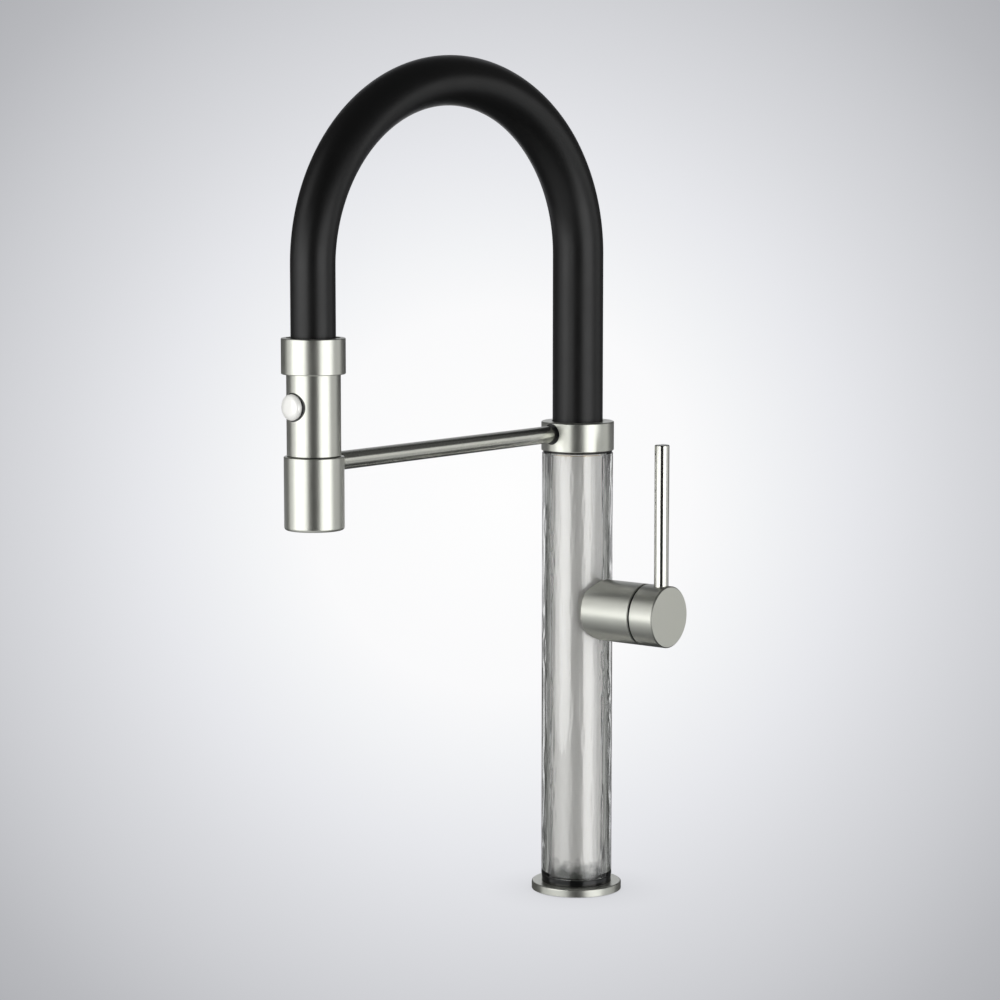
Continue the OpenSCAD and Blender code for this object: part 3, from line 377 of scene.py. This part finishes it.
def ripple(angle, height):
    """Depth of the drawn ripples in the bore: two crossing sets of long waves that wander and fade."""
    wander = 1.4 * math.sin(height / (23 * MM) + 3 * math.sin(angle))
    wander += 0.9 * math.sin(3 * angle + height / (11 * MM))
    turns = math.tau * height / RIPPLE_LENGTH
    leaning = math.cos(RIPPLES_ROUND * angle + turns + wander)
    leaning += math.cos((RIPPLES_ROUND + 6) * angle - turns - wander)
    fading = 0.65 + 0.35 * math.sin(height / (19 * MM) + 5 * angle)
    return RIPPLE_DEPTH * 0.5 * leaning * fading


def make_glass_sleeve(material):
    """Thick glass tube with a smooth outside and a rippled bore, with a hole for the valve's stem."""
    low, high, edge = sleeve_low.z, sleeve_high.z, SLEEVE_EDGE
    rows = 240
    outside = [(sleeve_r - edge, low), (sleeve_r, low + edge), (sleeve_r, high - edge),
               (sleeve_r - edge, high)]
    bore = [(SLEEVE_BORE, high - (high - low) * i / rows) for i in range(rows + 1)]
    shape = spun(outside + bore, steps=360)
    for corner in shape.verts:
        radius = math.hypot(corner.co.x, corner.co.y)
        if radius < SLEEVE_BORE + 0.01 * MM and low + edge < corner.co.z < high - edge:
            grown = radius + ripple(math.atan2(corner.co.y, corner.co.x), corner.co.z)
            corner.co.x *= grown / radius
            corner.co.y *= grown / radius
    piece = finish_piece("rippled_glass_sleeve", shape, "root", material, ["glass_sleeve"])
    cut_away(piece, rod_tool(STEM_HOLE, HOLE_START, 2 * sleeve_r, ALONG_X, VALVE))


# ---------------------------------------------------------------- hose cover

HOSE_R_COLUMN = hose_high.x
HOSE_R_SPRAY = spray_y - hose_low.y
HOSE_WALL = 2.5 * MM
TAPER_FROM, TAPER_TO = 40, 178      # degrees round the arch
TAPER_EASE = 0.35                   # how much of the taper starts and stops softly
ARCH_SPRING = 379.8 * MM            # height at which the legs end and the half ellipse starts
ARCH_RISE = 99.1 * MM
PLUG_IN_COVER = 9 * MM              # how far the cover comes down over its plug


def hose_radius(turn):
    """Radius of the cover: turn is 0 over the column and 180 over the spray head."""
    share = min(1, max(0, (turn - TAPER_FROM) / (TAPER_TO - TAPER_FROM)))
    share = TAPER_EASE * share * share * (3 - 2 * share) + (1 - TAPER_EASE) * share
    return HOSE_R_COLUMN + (HOSE_R_SPRAY - HOSE_R_COLUMN) * share


def make_hose_cover(material):
    """Hollow tapered cover: a ring drawn up the column leg, over the arch and down the spray leg."""
    steps, sides = 120, 72
    places = [(Vector((0, 0, hose_low.z)), Vector((0, 0, 1)), 0)]
    for i in range(steps + 1):
        turn = math.radians(180 * i / steps)
        centre = Vector((0, spray_y / 2 * (1 - math.cos(turn)), ARCH_SPRING + ARCH_RISE * math.sin(turn)))
        way = Vector((0, spray_y / 2 * math.sin(turn), ARCH_RISE * math.cos(turn))).normalized()
        places.append((centre, way, math.degrees(turn)))
    end_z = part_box("cover_plug")[1].z - PLUG_IN_COVER
    places.append((Vector((0, spray_y, end_z)), Vector((0, 0, -1)), 180))
    shape = bmesh.new()
    ring = bmesh.ops.create_circle(shape, cap_ends=False, segments=sides, radius=1)["verts"]
    here = Matrix.Identity(4)
    for i, (centre, way, turn) in enumerate(places):
        across = Vector((1, 0, 0))
        size = hose_radius(turn)
        turned = Matrix((across, way.cross(across), way)).transposed().to_4x4()
        there = Matrix.Translation(centre) @ turned @ Matrix.Diagonal((size, size, 1, 1))
        if i:
            edges = {edge for corner in ring for edge in corner.link_edges
                     if all(end in ring for end in edge.verts)}
            grown = bmesh.ops.extrude_edge_only(shape, edges=list(edges))
            ring = [part for part in grown["geom"] if isinstance(part, bmesh.types.BMVert)]
        bmesh.ops.transform(shape, matrix=there @ here.inverted(), verts=ring)
        here = there
    bmesh.ops.recalc_face_normals(shape, faces=shape.faces)
    outside = sum(face.normal.x * face.calc_center_median().x for face in shape.faces)
    if outside < 0:
        bmesh.ops.reverse_faces(shape, faces=shape.faces)
    piece = finish_piece("hose_sleeve", shape, None, material, ["hose_cover"], crease=60)
    wall = piece.modifiers.new("wall", "SOLIDIFY")
    wall.thickness = HOSE_WALL
    wall.offset = -1
    bpy.context.view_layer.update()
    piece.data = bpy.data.meshes.new_from_object(piece.evaluated_get(bpy.context.evaluated_depsgraph_get()))
    piece.modifiers.clear()
    smooth_with_creases(piece.data, 60)
    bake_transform(piece)


def make_inner_hose(node, name, material):
    """The spring or the water hose inside the cover: a merged, smooth shaded copy of its CAD node."""
    shape = bmesh.new()
    shape.from_mesh(frame["nodes"][node].data)
    bmesh.ops.remove_doubles(shape, verts=shape.verts, dist=0.001 * MM)
    bmesh.ops.recalc_face_normals(shape, faces=shape.faces)
    piece = finish_piece(name, shape, None, material, [node], crease=50)
    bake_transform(piece)


# ---------------------------------------------------------------- lever, button and gland

lever_low, lever_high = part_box("lever")
LEVER_EDGE = 0.7 * MM
BUTTON_PRESS = Vector(next(joint["axis"] for joint in frame["joints"] if joint["name"] == "button_press"))
BUTTON_R = 7.0 * MM
BUTTON_ROOT = 11 * MM               # this and the next heights are from the axis of the spray head
BELLOWS_TOP = 13.9 * MM
SHADE_RING_TOP = 16 * MM
BUTTON_FACE = 18.0 * MM
CUSHION = 2.9 * MM                  # height of the button's rounded edge
CUSHION_FULLNESS = 0.65             # 1 is an ellipse, and less is squarer
BELLOWS_R = 6.9 * MM
BELLOWS_FOLD = 0.35 * MM
# the thin black ring round the button, which stands in for the shadow gap
SHADE_RING_IN, SHADE_RING_OUT = 7.05 * MM, 7.7 * MM
BAR_SHADE_RING_R = 6.2 * MM
BAR_SHADE_RING_ASIDE = 0.8 * MM              # from the bar's axis, so the black ring is wider on the side where it stands in for the shadow gap
CUTTER_HALF = 0.03                  # half the length of a cutting rod, well past the piece that it trims
BAR_CUTTER_HALF = 0.02


def make_lever(material):
    """Polished pin, slightly rounded at its end, that stands in the cap."""
    radius = (lever_high.x - lever_low.x) / 2
    low, high = lever_low.z, lever_high.z
    tip = rounded(radius - LEVER_EDGE, high - LEVER_EDGE, LEVER_EDGE, 0, 90)
    shape = spun([(0, low), (radius, low)] + tip + [(0, high)], steps=96)
    bmesh.ops.translate(shape, verts=shape.verts, vec=((lever_low.x + lever_high.x) / 2, 0, 0))
    finish_piece("pin_lever", shape, "handle", material, ["lever"])


def onto_button_axis(shape):
    """Turns a shape from the Z axis onto the button's axis, pointing out of the spray head."""
    turn = (-BUTTON_PRESS).to_track_quat("Z", "Y").to_matrix()
    bmesh.ops.rotate(shape, verts=shape.verts, cent=(0, 0, 0), matrix=turn)
    bmesh.ops.translate(shape, verts=shape.verts, vec=BUTTON)


def make_push_button(metal, rubber):
    """Cushioned button on a short rubber bellows, in a thin black rubber ring that follows the body's round
    and stands in for the shadow gap round the button.
    """
    full = CUSHION_FULLNESS
    turns = [math.radians(90 * i / 20) for i in range(20)]
    cushion = [(BUTTON_R * math.cos(a) ** full, BUTTON_FACE - CUSHION + CUSHION * math.sin(a) ** full)
               for a in turns]
    inner = [(0, BELLOWS_TOP), (BUTTON_R - 0.4 * MM, BELLOWS_TOP)]
    shape = spun(inner + cushion + [(0, BUTTON_FACE)], steps=96)
    onto_button_axis(shape)
    finish_piece("push_button", shape, "button", metal, ["spray_button"])
    root = [(0, BUTTON_ROOT), (BELLOWS_R - BELLOWS_FOLD, BUTTON_ROOT), (BELLOWS_R, BUTTON_ROOT + 1.2 * MM)]
    fold = rounded(BELLOWS_R - BELLOWS_FOLD, BELLOWS_TOP - BELLOWS_FOLD, BELLOWS_FOLD, 0, 90, 4)
    shape = spun(root + fold + [(0, BELLOWS_TOP)], steps=96)
    onto_button_axis(shape)
    finish_piece("button_bellows", shape, "button", rubber, [])
    # painted shade: a thin black ring round the button stands in for the shadow gap between button and body
    shade_ring = [(SHADE_RING_IN, BUTTON_ROOT), (SHADE_RING_OUT, BUTTON_ROOT), (SHADE_RING_OUT, SHADE_RING_TOP),
              (SHADE_RING_IN, SHADE_RING_TOP)]
    shape = spun(shade_ring, steps=96)
    onto_button_axis(shape)
    piece = finish_piece("button_shade_ring", shape, "spray_head", rubber, [])
    proud_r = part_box("spray_body")[1].x + 0.25 * MM
    trim = rod_tool(proud_r, button_z - CUTTER_HALF, button_z + CUTTER_HALF, ALONG_Z, SPRAY)
    cut_away(piece, trim, "INTERSECT")


def make_bar_shade_ring(rubber):
    """Black rubber ring round the bar where it enters the collar, flush with the collar's side and set off
    the bar's axis, so that it stands in for the shadow gap there.
    """
    collar_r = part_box("arm_collar")[1].x
    bar_r = (bar_high.z - bar_low.z) / 2
    bar_x = bar_low.x + bar_r
    shape = bmesh.new()
    # painted shade: a black ring set off-centre stands in for the shadow gap round the bar
    bmesh.ops.create_cone(shape, cap_ends=True, segments=96, radius1=BAR_SHADE_RING_R, radius2=BAR_SHADE_RING_R, depth=8 * MM)
    bmesh.ops.rotate(shape, verts=shape.verts, cent=(0, 0, 0), matrix=ALONG_Y)
    bmesh.ops.translate(shape, verts=shape.verts, vec=(bar_x + BAR_SHADE_RING_ASIDE, -collar_r, BAR.z))
    piece = finish_piece("bar_shade_ring", shape, "arm", rubber, [])
    cut_away(piece, rod_tool(collar_r + 0.08 * MM, BAR.z - CUTTER_HALF, BAR.z + CUTTER_HALF, ALONG_Z, COLUMN),
             "INTERSECT")
    bar_hole = (bar_x, -collar_r, BAR.z)
    cut_away(piece, rod_tool(bar_r - 0.05 * MM, -BAR_CUTTER_HALF, BAR_CUTTER_HALF, ALONG_Y, bar_hole))


# ---------------------------------------------------------------- the studio

VIEW_TURN = math.radians(38.5)      # the camera stands this far round from the front
VIEW_TILT = math.radians(6.6)       # and looks down by this much
LENS_MM = 109.27
CAMERA_AWAY = 1.7877                # from the column's axis
CAMERA_SIDE = 0.04588               # the column stands this far right of the view's centre
CAMERA_HEIGHT = 0.4412
RIGHT = Vector((math.cos(VIEW_TURN), math.sin(VIEW_TURN), 0))
BACK = Vector((math.sin(VIEW_TURN), -math.cos(VIEW_TURN), 0))
CENTRE = Vector((0, spray_y / 2, 0.25))
CAMERA_PLACE = BACK * CAMERA_AWAY - RIGHT * CAMERA_SIDE + Vector((0, 0, CAMERA_HEIGHT))
ROOM_FLOOR = -0.4 * MM              # the paper lies just under the object
LIT_FLOOR = BACK * 0.45 - RIGHT * 0.35      # the middle of the painted pool of light on the floor that metal mirrors


def make_camera():
    """A long lens a little left of the column, above the top of the glass and looking slightly down."""
    data = bpy.data.cameras.new("camera")
    data.lens = LENS_MM
    data.sensor_width = 36
    data.clip_end = 50
    camera = bpy.data.objects.new("camera", data)
    bpy.context.scene.collection.objects.link(camera)
    camera.location = CAMERA_PLACE
    camera.rotation_euler = (math.pi / 2 - VIEW_TILT, 0, VIEW_TURN)
    bpy.context.scene.camera = camera


def from_camera(degrees, away, height):
    """A place round the object: 0 degrees is on the camera's side, 90 is on the right of the view."""
    turn = math.radians(degrees)
    level = (BACK * math.cos(turn) + RIGHT * math.sin(turn)) * away
    return CENTRE + level + Vector((0, 0, height - CENTRE.z))


def facing_centre(place, height):
    """Turns a panel's -Z towards the object."""
    return (Vector((CENTRE.x, CENTRE.y, height)) - place).to_track_quat("-Z", "Y").to_euler()


def softbox(name, degrees, width, tall, height, radiance, away):
    """A rectangular softbox of even radiance, so its power follows its area."""
    data = bpy.data.lights.new(name, "AREA")
    data.shape = "RECTANGLE"
    data.size = width
    data.size_y = tall
    data.energy = radiance * math.pi * width * tall
    lamp = bpy.data.objects.new(name, data)
    bpy.context.scene.collection.objects.link(lamp)
    lamp.location = from_camera(degrees, away, height)
    lamp.rotation_euler = facing_centre(lamp.location, height)
    lamp.visible_camera = False


def card(name, degrees, width, tall, height, grey, away, top_grey=None):
    """A card beside the set, even or graded: metal and glass show it, and the camera looks past it."""
    made, tree = new_material(name)
    place = add(tree, "TexCoord")
    up = add(tree, "SeparateXYZ", [place.outputs["Object"]])
    top_grey = grey if top_grey is None else top_grey
    level = add(tree, "MapRange", [up.outputs["Y"], -tall / 2, tall / 2, grey, top_grey])
    glow = add(tree, "Emission", {"Color": (1, 1, 1, 1), "Strength": level.outputs[0]})
    add(tree, "OutputMaterial", {"Surface": glow.outputs[0]})
    shape = bmesh.new()
    bmesh.ops.create_grid(shape, x_segments=1, y_segments=1, size=0.5)
    bmesh.ops.scale(shape, verts=shape.verts, vec=(width, tall, 1))
    mesh = bpy.data.meshes.new(name)
    shape.to_mesh(mesh)
    shape.free()
    mesh.materials.append(made)
    panel = bpy.data.objects.new(name, mesh)
    bpy.context.scene.collection.objects.link(panel)
    panel.location = from_camera(degrees, away, height)
    panel.rotation_euler = facing_centre(panel.location, height)
    panel.visible_camera = False
    panel.visible_diffuse = False
    panel.visible_shadow = False


def seen_rays(tree):
    """Light path values: 1 for rays of the camera, of mirrors, and through glass."""
    path = add(tree, "LightPath")
    clear = add(tree, "Math", [1.0, path.outputs["Is Transmission Ray"]], operation="SUBTRACT")
    mirrored = add(tree, "Math", [path.outputs["Is Glossy Ray"], clear.outputs[0]], operation="MULTIPLY")
    return path.outputs["Is Camera Ray"], mirrored.outputs[0], path.outputs["Is Transmission Ray"]


def pool_of_light(tree):
    """Grey of the paper, in a round pool that fades outwards.

    The grey goes by the angle off the camera's axis at rest, as a spot on the camera would light it. That
    place and those axes are fixed numbers in the room, so the pool stays put when a view is taken elsewhere.
    """
    turn = Matrix.Rotation(VIEW_TURN, 3, "Z") @ Matrix.Rotation(math.pi / 2 - VIEW_TILT, 3, "X")
    place = add(tree, "TexCoord")
    ray = add(tree, "VectorMath", [place.outputs["Object"], CAMERA_PLACE], operation="SUBTRACT")
    reach = [add(tree, "VectorMath", [ray.outputs[0], axis], operation="DOT_PRODUCT").outputs["Value"]
             for axis in turn.col]
    away = add(tree, "Math", [reach[2], -1.0], operation="MULTIPLY")
    away = add(tree, "Math", [away.outputs[0], 0.3], operation="MAXIMUM")
    flat = add(tree, "CombineXYZ", [reach[0], reach[1], 0.0])
    width = add(tree, "VectorMath", [flat.outputs[0]], operation="LENGTH")
    angle = add(tree, "Math", [width.outputs["Value"], away.outputs[0]], operation="DIVIDE")
    angle = add(tree, "Math", [angle.outputs[0], 4.0], operation="MULTIPLY")
    return add(tree, "ValToRGB", [angle.outputs[0]], stops=[
        (0.0, "#FEFEFE"), (0.25, "#FAFAFB"), (0.33, "#F3F4F6"), (0.46, "#E7E8EC"), (0.59, "#D9DADE"),
        (0.72, "#CBCCD0"), (0.86, "#B9BABE"), (0.95, "#B0B1B5")]).outputs[0]


def paper():
    """Pale studio paper at its own grey, with a painted contact shadow close under the object.

    Metal and glass see it differently from the camera, as if dark flags stood beside the set. Metal mirrors
    a floor with a painted pool of light round LIT_FLOOR, which darkens away from it. Rays through glass meet
    painted dark greys beside the way straight back, which draw the dark edges of the glass. Both look past
    the paper where they meet it at a low angle.
    """
    made, tree = new_material("paper")
    # painted shadow: ambient occlusion darkens the paper's grey close under the object
    contact_shadow = add(tree, "AmbientOcclusion", {"Color": (1, 1, 1, 1), "Distance": 40 * MM}, samples=12)
    shade = add(tree, "MapRange", [contact_shadow.outputs["AO"], 0.0, 1.0, 0.72, 1.0])
    grey = add(tree, "Mix", {0: 1.0, 6: pool_of_light(tree), 7: shade.outputs[0]}, data_type="RGBA",
               blend_type="MULTIPLY")
    seen = add(tree, "Emission", {"Color": grey.outputs[2], "Strength": 1.0})
    lit = add(tree, "BsdfDiffuse", {"Color": linear("#D9D9D9")})
    camera, mirrored, through = seen_rays(tree)
    by_object = add(tree, "Math", [mirrored, through], operation="MAXIMUM")
    looked_at = add(tree, "Math", [camera, by_object.outputs[0]], operation="MAXIMUM")
    shown = add(tree, "MixShader", [looked_at.outputs[0], lit.outputs[0], seen.outputs[0]])

    # the floor that metal mirrors, within about a metre of the object: a painted pool of light round
    # LIT_FLOOR
    place = add(tree, "TexCoord")
    lit_from = add(tree, "VectorMath", [place.outputs["Object"], LIT_FLOOR], operation="DISTANCE")
    painted_floor_pool = add(tree, "ValToRGB", [lit_from.outputs["Value"]], stops=[
        (0.0, "#E6E6E6"), (0.3, "#C6C7C8"), (0.45, "#9A9B9C"), (0.57, "#4A4B4C"), (0.8, "#424344"),
        (1.0, "#424344")])
    below = add(tree, "Emission", {"Color": painted_floor_pool.outputs[0], "Strength": 1.0})
    up = add(tree, "SeparateXYZ", [place.outputs["Object"]])
    flat = add(tree, "Math", [up.outputs["Z"], 5 * MM], operation="LESS_THAN")
    near = add(tree, "VectorMath", [place.outputs["Object"]], operation="LENGTH")
    near = add(tree, "MapRange", [near.outputs["Value"], 0.9, 1.4, 1.0, 0.0])
    flat = add(tree, "Math", [flat.outputs[0], near.outputs[0]], operation="MULTIPLY")
    flat = add(tree, "Math", [flat.outputs[0], mirrored], operation="MULTIPLY")
    shown = add(tree, "MixShader", [flat.outputs[0], shown.outputs[0], below.outputs[0]])

    # the greys that rays through glass meet, by how far round from straight behind the object they go
    way = add(tree, "VectorMath", [place.outputs["Object"]], operation="NORMALIZE")
    way = add(tree, "VectorMath", [way.outputs[0], BACK], operation="DOT_PRODUCT")
    round_back = add(tree, "MapRange", [way.outputs["Value"], -1.0, 0.0, 0.0, 1.0])
    aside = add(tree, "Math", [round_back.outputs[0], 0.015], operation="GREATER_THAN")
    aside = add(tree, "Math", [aside.outputs[0], through], operation="MULTIPLY")
    flag_grey = add(tree, "ValToRGB", [round_back.outputs[0]], stops=[
        (0.0, "#D4D4D4"), (0.02, "#B4B5B3"), (0.045, "#3E403D"), (0.13, "#535552"), (0.3, "#80827F"),
        (0.5, "#A4A5A3"), (1.0, "#B8B8B8")])
    flag = add(tree, "Emission", {"Color": flag_grey.outputs[0], "Strength": 1.0})
    shown = add(tree, "MixShader", [aside.outputs[0], shown.outputs[0], flag.outputs[0]])

    # metal and glass look past the paper at a low angle, except far behind the object
    front = add(tree, "Math", [way.outputs["Value"], -0.5], operation="GREATER_THAN")
    low = add(tree, "LayerWeight", [0.5])
    low = add(tree, "MapRange", [low.outputs["Facing"], 0.5, 0.58, 0.0, 1.0])
    past = add(tree, "Math", [front.outputs[0], low.outputs[0]], operation="MULTIPLY")
    past = add(tree, "Math", [past.outputs[0], by_object.outputs[0]], operation="MULTIPLY")
    open_air = add(tree, "BsdfTransparent")
    mixed = add(tree, "MixShader", [past.outputs[0], shown.outputs[0], open_air.outputs[0]])
    add(tree, "OutputMaterial", {"Surface": mixed.outputs[0]})
    return made


def make_paper_sweep():
    """Floor and low back wall in one sheet of paper, bent up behind the object."""
    shape = bmesh.new()
    bend, wall_away, front, half, top = 0.8, 3.0, -4.5, 5.0, 2.4
    outline = [Vector((0, front, ROOM_FLOOR)), Vector((0, wall_away - bend, ROOM_FLOOR))]
    outline += [Vector((0, wall_away - bend + bend * math.sin(a), bend - bend * math.cos(a) + ROOM_FLOOR))
                for a in [math.radians(90 * i / 16) for i in range(1, 17)]]
    outline.append(Vector((0, wall_away, top)))
    corners = [shape.verts.new(point - Vector((half, 0, 0))) for point in outline]
    edges = [shape.edges.new(pair) for pair in zip(corners, corners[1:])]
    grown = bmesh.ops.extrude_edge_only(shape, edges=edges)
    moved = [part for part in grown["geom"] if isinstance(part, bmesh.types.BMVert)]
    bmesh.ops.translate(shape, verts=moved, vec=(2 * half, 0, 0))
    bmesh.ops.rotate(shape, verts=shape.verts, cent=(0, 0, 0), matrix=Matrix.Rotation(VIEW_TURN, 3, "Z"))
    bmesh.ops.recalc_face_normals(shape, faces=shape.faces)
    mesh = bpy.data.meshes.new("paper_sweep")
    shape.to_mesh(mesh)
    shape.free()
    mesh.shade_smooth()
    mesh.materials.append(paper())
    sweep = bpy.data.objects.new("paper_sweep", mesh)
    bpy.context.scene.collection.objects.link(sweep)


def make_world():
    """Metal mirrors a dome, pale at its own level and dark overhead; the rest is an even soft fill.

    The camera and rays through glass see one plain grey.
    """
    world = bpy.data.worlds.new("room")
    bpy.context.scene.world = world
    world.use_nodes = True
    tree = world.node_tree
    tree.nodes.clear()
    camera, mirrored, through = seen_rays(tree)
    place = add(tree, "TexCoord")
    up = add(tree, "SeparateXYZ", [place.outputs["Generated"]])
    height = add(tree, "MapRange", [up.outputs["Z"], -1.0, 1.0, 0.0, 1.0])
    dome = add(tree, "ValToRGB", [height.outputs[0]], stops=[
        (0.0, "#606060"), (0.1, "#B0B0B0"), (0.25, "#D0D1D2"), (0.5, "#C8C9CA"), (0.57, "#5C5D60"),
        (0.75, "#48494A"), (1.0, "#404142")])
    straight = add(tree, "Math", [camera, through], operation="MAXIMUM")
    grey = add(tree, "Mix", {0: straight.outputs[0], 6: linear("#F4F4F4"), 7: linear("#D5D6DA")},
               data_type="RGBA")
    grey = add(tree, "Mix", {0: mirrored, 6: grey.outputs[2], 7: dome.outputs[0]}, data_type="RGBA")
    back = add(tree, "Background", {"Color": grey.outputs[2], "Strength": 1.0})
    add(tree, "OutputWorld", {"Surface": back.outputs[0]})


def light_the_set():
    """Two wide softboxes beside the camera, and cards for metal to mirror.

    After the name come degrees round the object, width, height of the panel, height of its middle, and
    radiance or grey. Dark cards stand behind the camera and far round, and pale ones beside the object.
    """
    softbox("left_softbox", -50.5, 1.72, 1.15, 0.3, 1.75, away=1.7)
    softbox("right_softbox", 47, 1.45, 1.15, 0.15, 1.75, away=1.7)
    card("card_behind_camera", 0, 2.6, 6.0, 1.5, 0.02, away=3.0)
    card("card_left", -140, 3.4, 1.75, -0.42, 0.09, away=2.3)
    card("card_right", 145, 2.6, 1.75, -0.42, 0.09, away=2.3)
    card("high_card_left", -128, 2.6, 2.2, 1.55, 0.08, away=2.3)
    card("high_card_right", 131, 2.4, 2.2, 1.55, 0.08, away=2.3)
    card("pale_card_left", -93, 0.6, 1.6, 0.1, 0.95, away=2.2)
    card("pale_card_right", 104, 0.7, 1.4, 0.2, 0.4, away=2.2, top_grey=1.2)
    card("glow_over_left_softbox", -75, 1.3, 2.2, 2.0, 1.1, away=1.9, top_grey=0.25)


# ---------------------------------------------------------------- dressing the pieces

def dress(material, *nodes):
    """Gives CAD nodes their finish."""
    for name in nodes:
        for place in frame["nodes"][name].material_slots:
            place.material = material


make_camera()
make_world()
make_paper_sweep()
light_the_set()

glass = clear_glass()
hose = silicone_rubber()
polished = polished_nickel()
seal = seal_rubber()
brass = machined_metal("machined_brass", "#B99A5B", 0.25, 0.4)
steel = machined_metal("bright_steel", "#B9BABC", 0.25, 0.38)
copper = machined_metal("drawn_copper", "#B87A55", 0.2, 0.35)
black_plastic = moulded_plastic("black_acetal", "#161617")
white_plastic = moulded_plastic("white_acetal", "#DEDDD6")

dress(brushed_nickel("brushed_nickel_column", COLUMN, "Z"), "base_flange", "arm_collar")
dress(matt_drawn_tube(), "column_tube")
dress(brushed_nickel("brushed_nickel_spray", SPRAY, "Z"), "holder", "spray_ring", "spray_body")
dress(brushed_nickel("brushed_nickel_valve", VALVE, "X", 0.3, 0.36), "valve_housing", "handle_cap")
dress(brushed_nickel("brushed_nickel_bar", BAR, "Y", 0.22), "bar")
dress(seal, "base_seal", "sleeve_seat", "sleeve_gasket", "cartridge_seals", "glide_ring", "nipple_seal",
      "tail_seal", "nozzle_face")
dress(black_plastic, "cartridge_body", "holder_liner", "hose_foot", "cover_plug", "button_plunger")
dress(white_plastic, "swivel_bush", "spray_core", "aerator")
dress(brass, "foot_block", "manifold", "swivel_spigot", "cartridge_nut", "spindle", "hose_nipple",
      "hose_tail", "union_nut")
dress(copper, "inlet_pipes", "riser_pipe")
dress(steel, "stop_pin", "handle_screw", "swivel_washer", "swivel_clip", "bar_screw", "holder_screw",
      "hose_ferrule", "tail_ferrule", "button_spring")
dress(lapped_ceramic(), "fixed_disc", "moving_disc")

make_glass_sleeve(glass)
make_hose_cover(hose)
make_inner_hose("support_spring", "wound_spring", steel)
make_inner_hose("water_hose", "braided_water_hose", steel)
make_lever(polished)
make_push_button(satin_button(), seal)
make_bar_shade_ring(seal)

bpy.context.scene.view_settings.view_transform = "Standard"
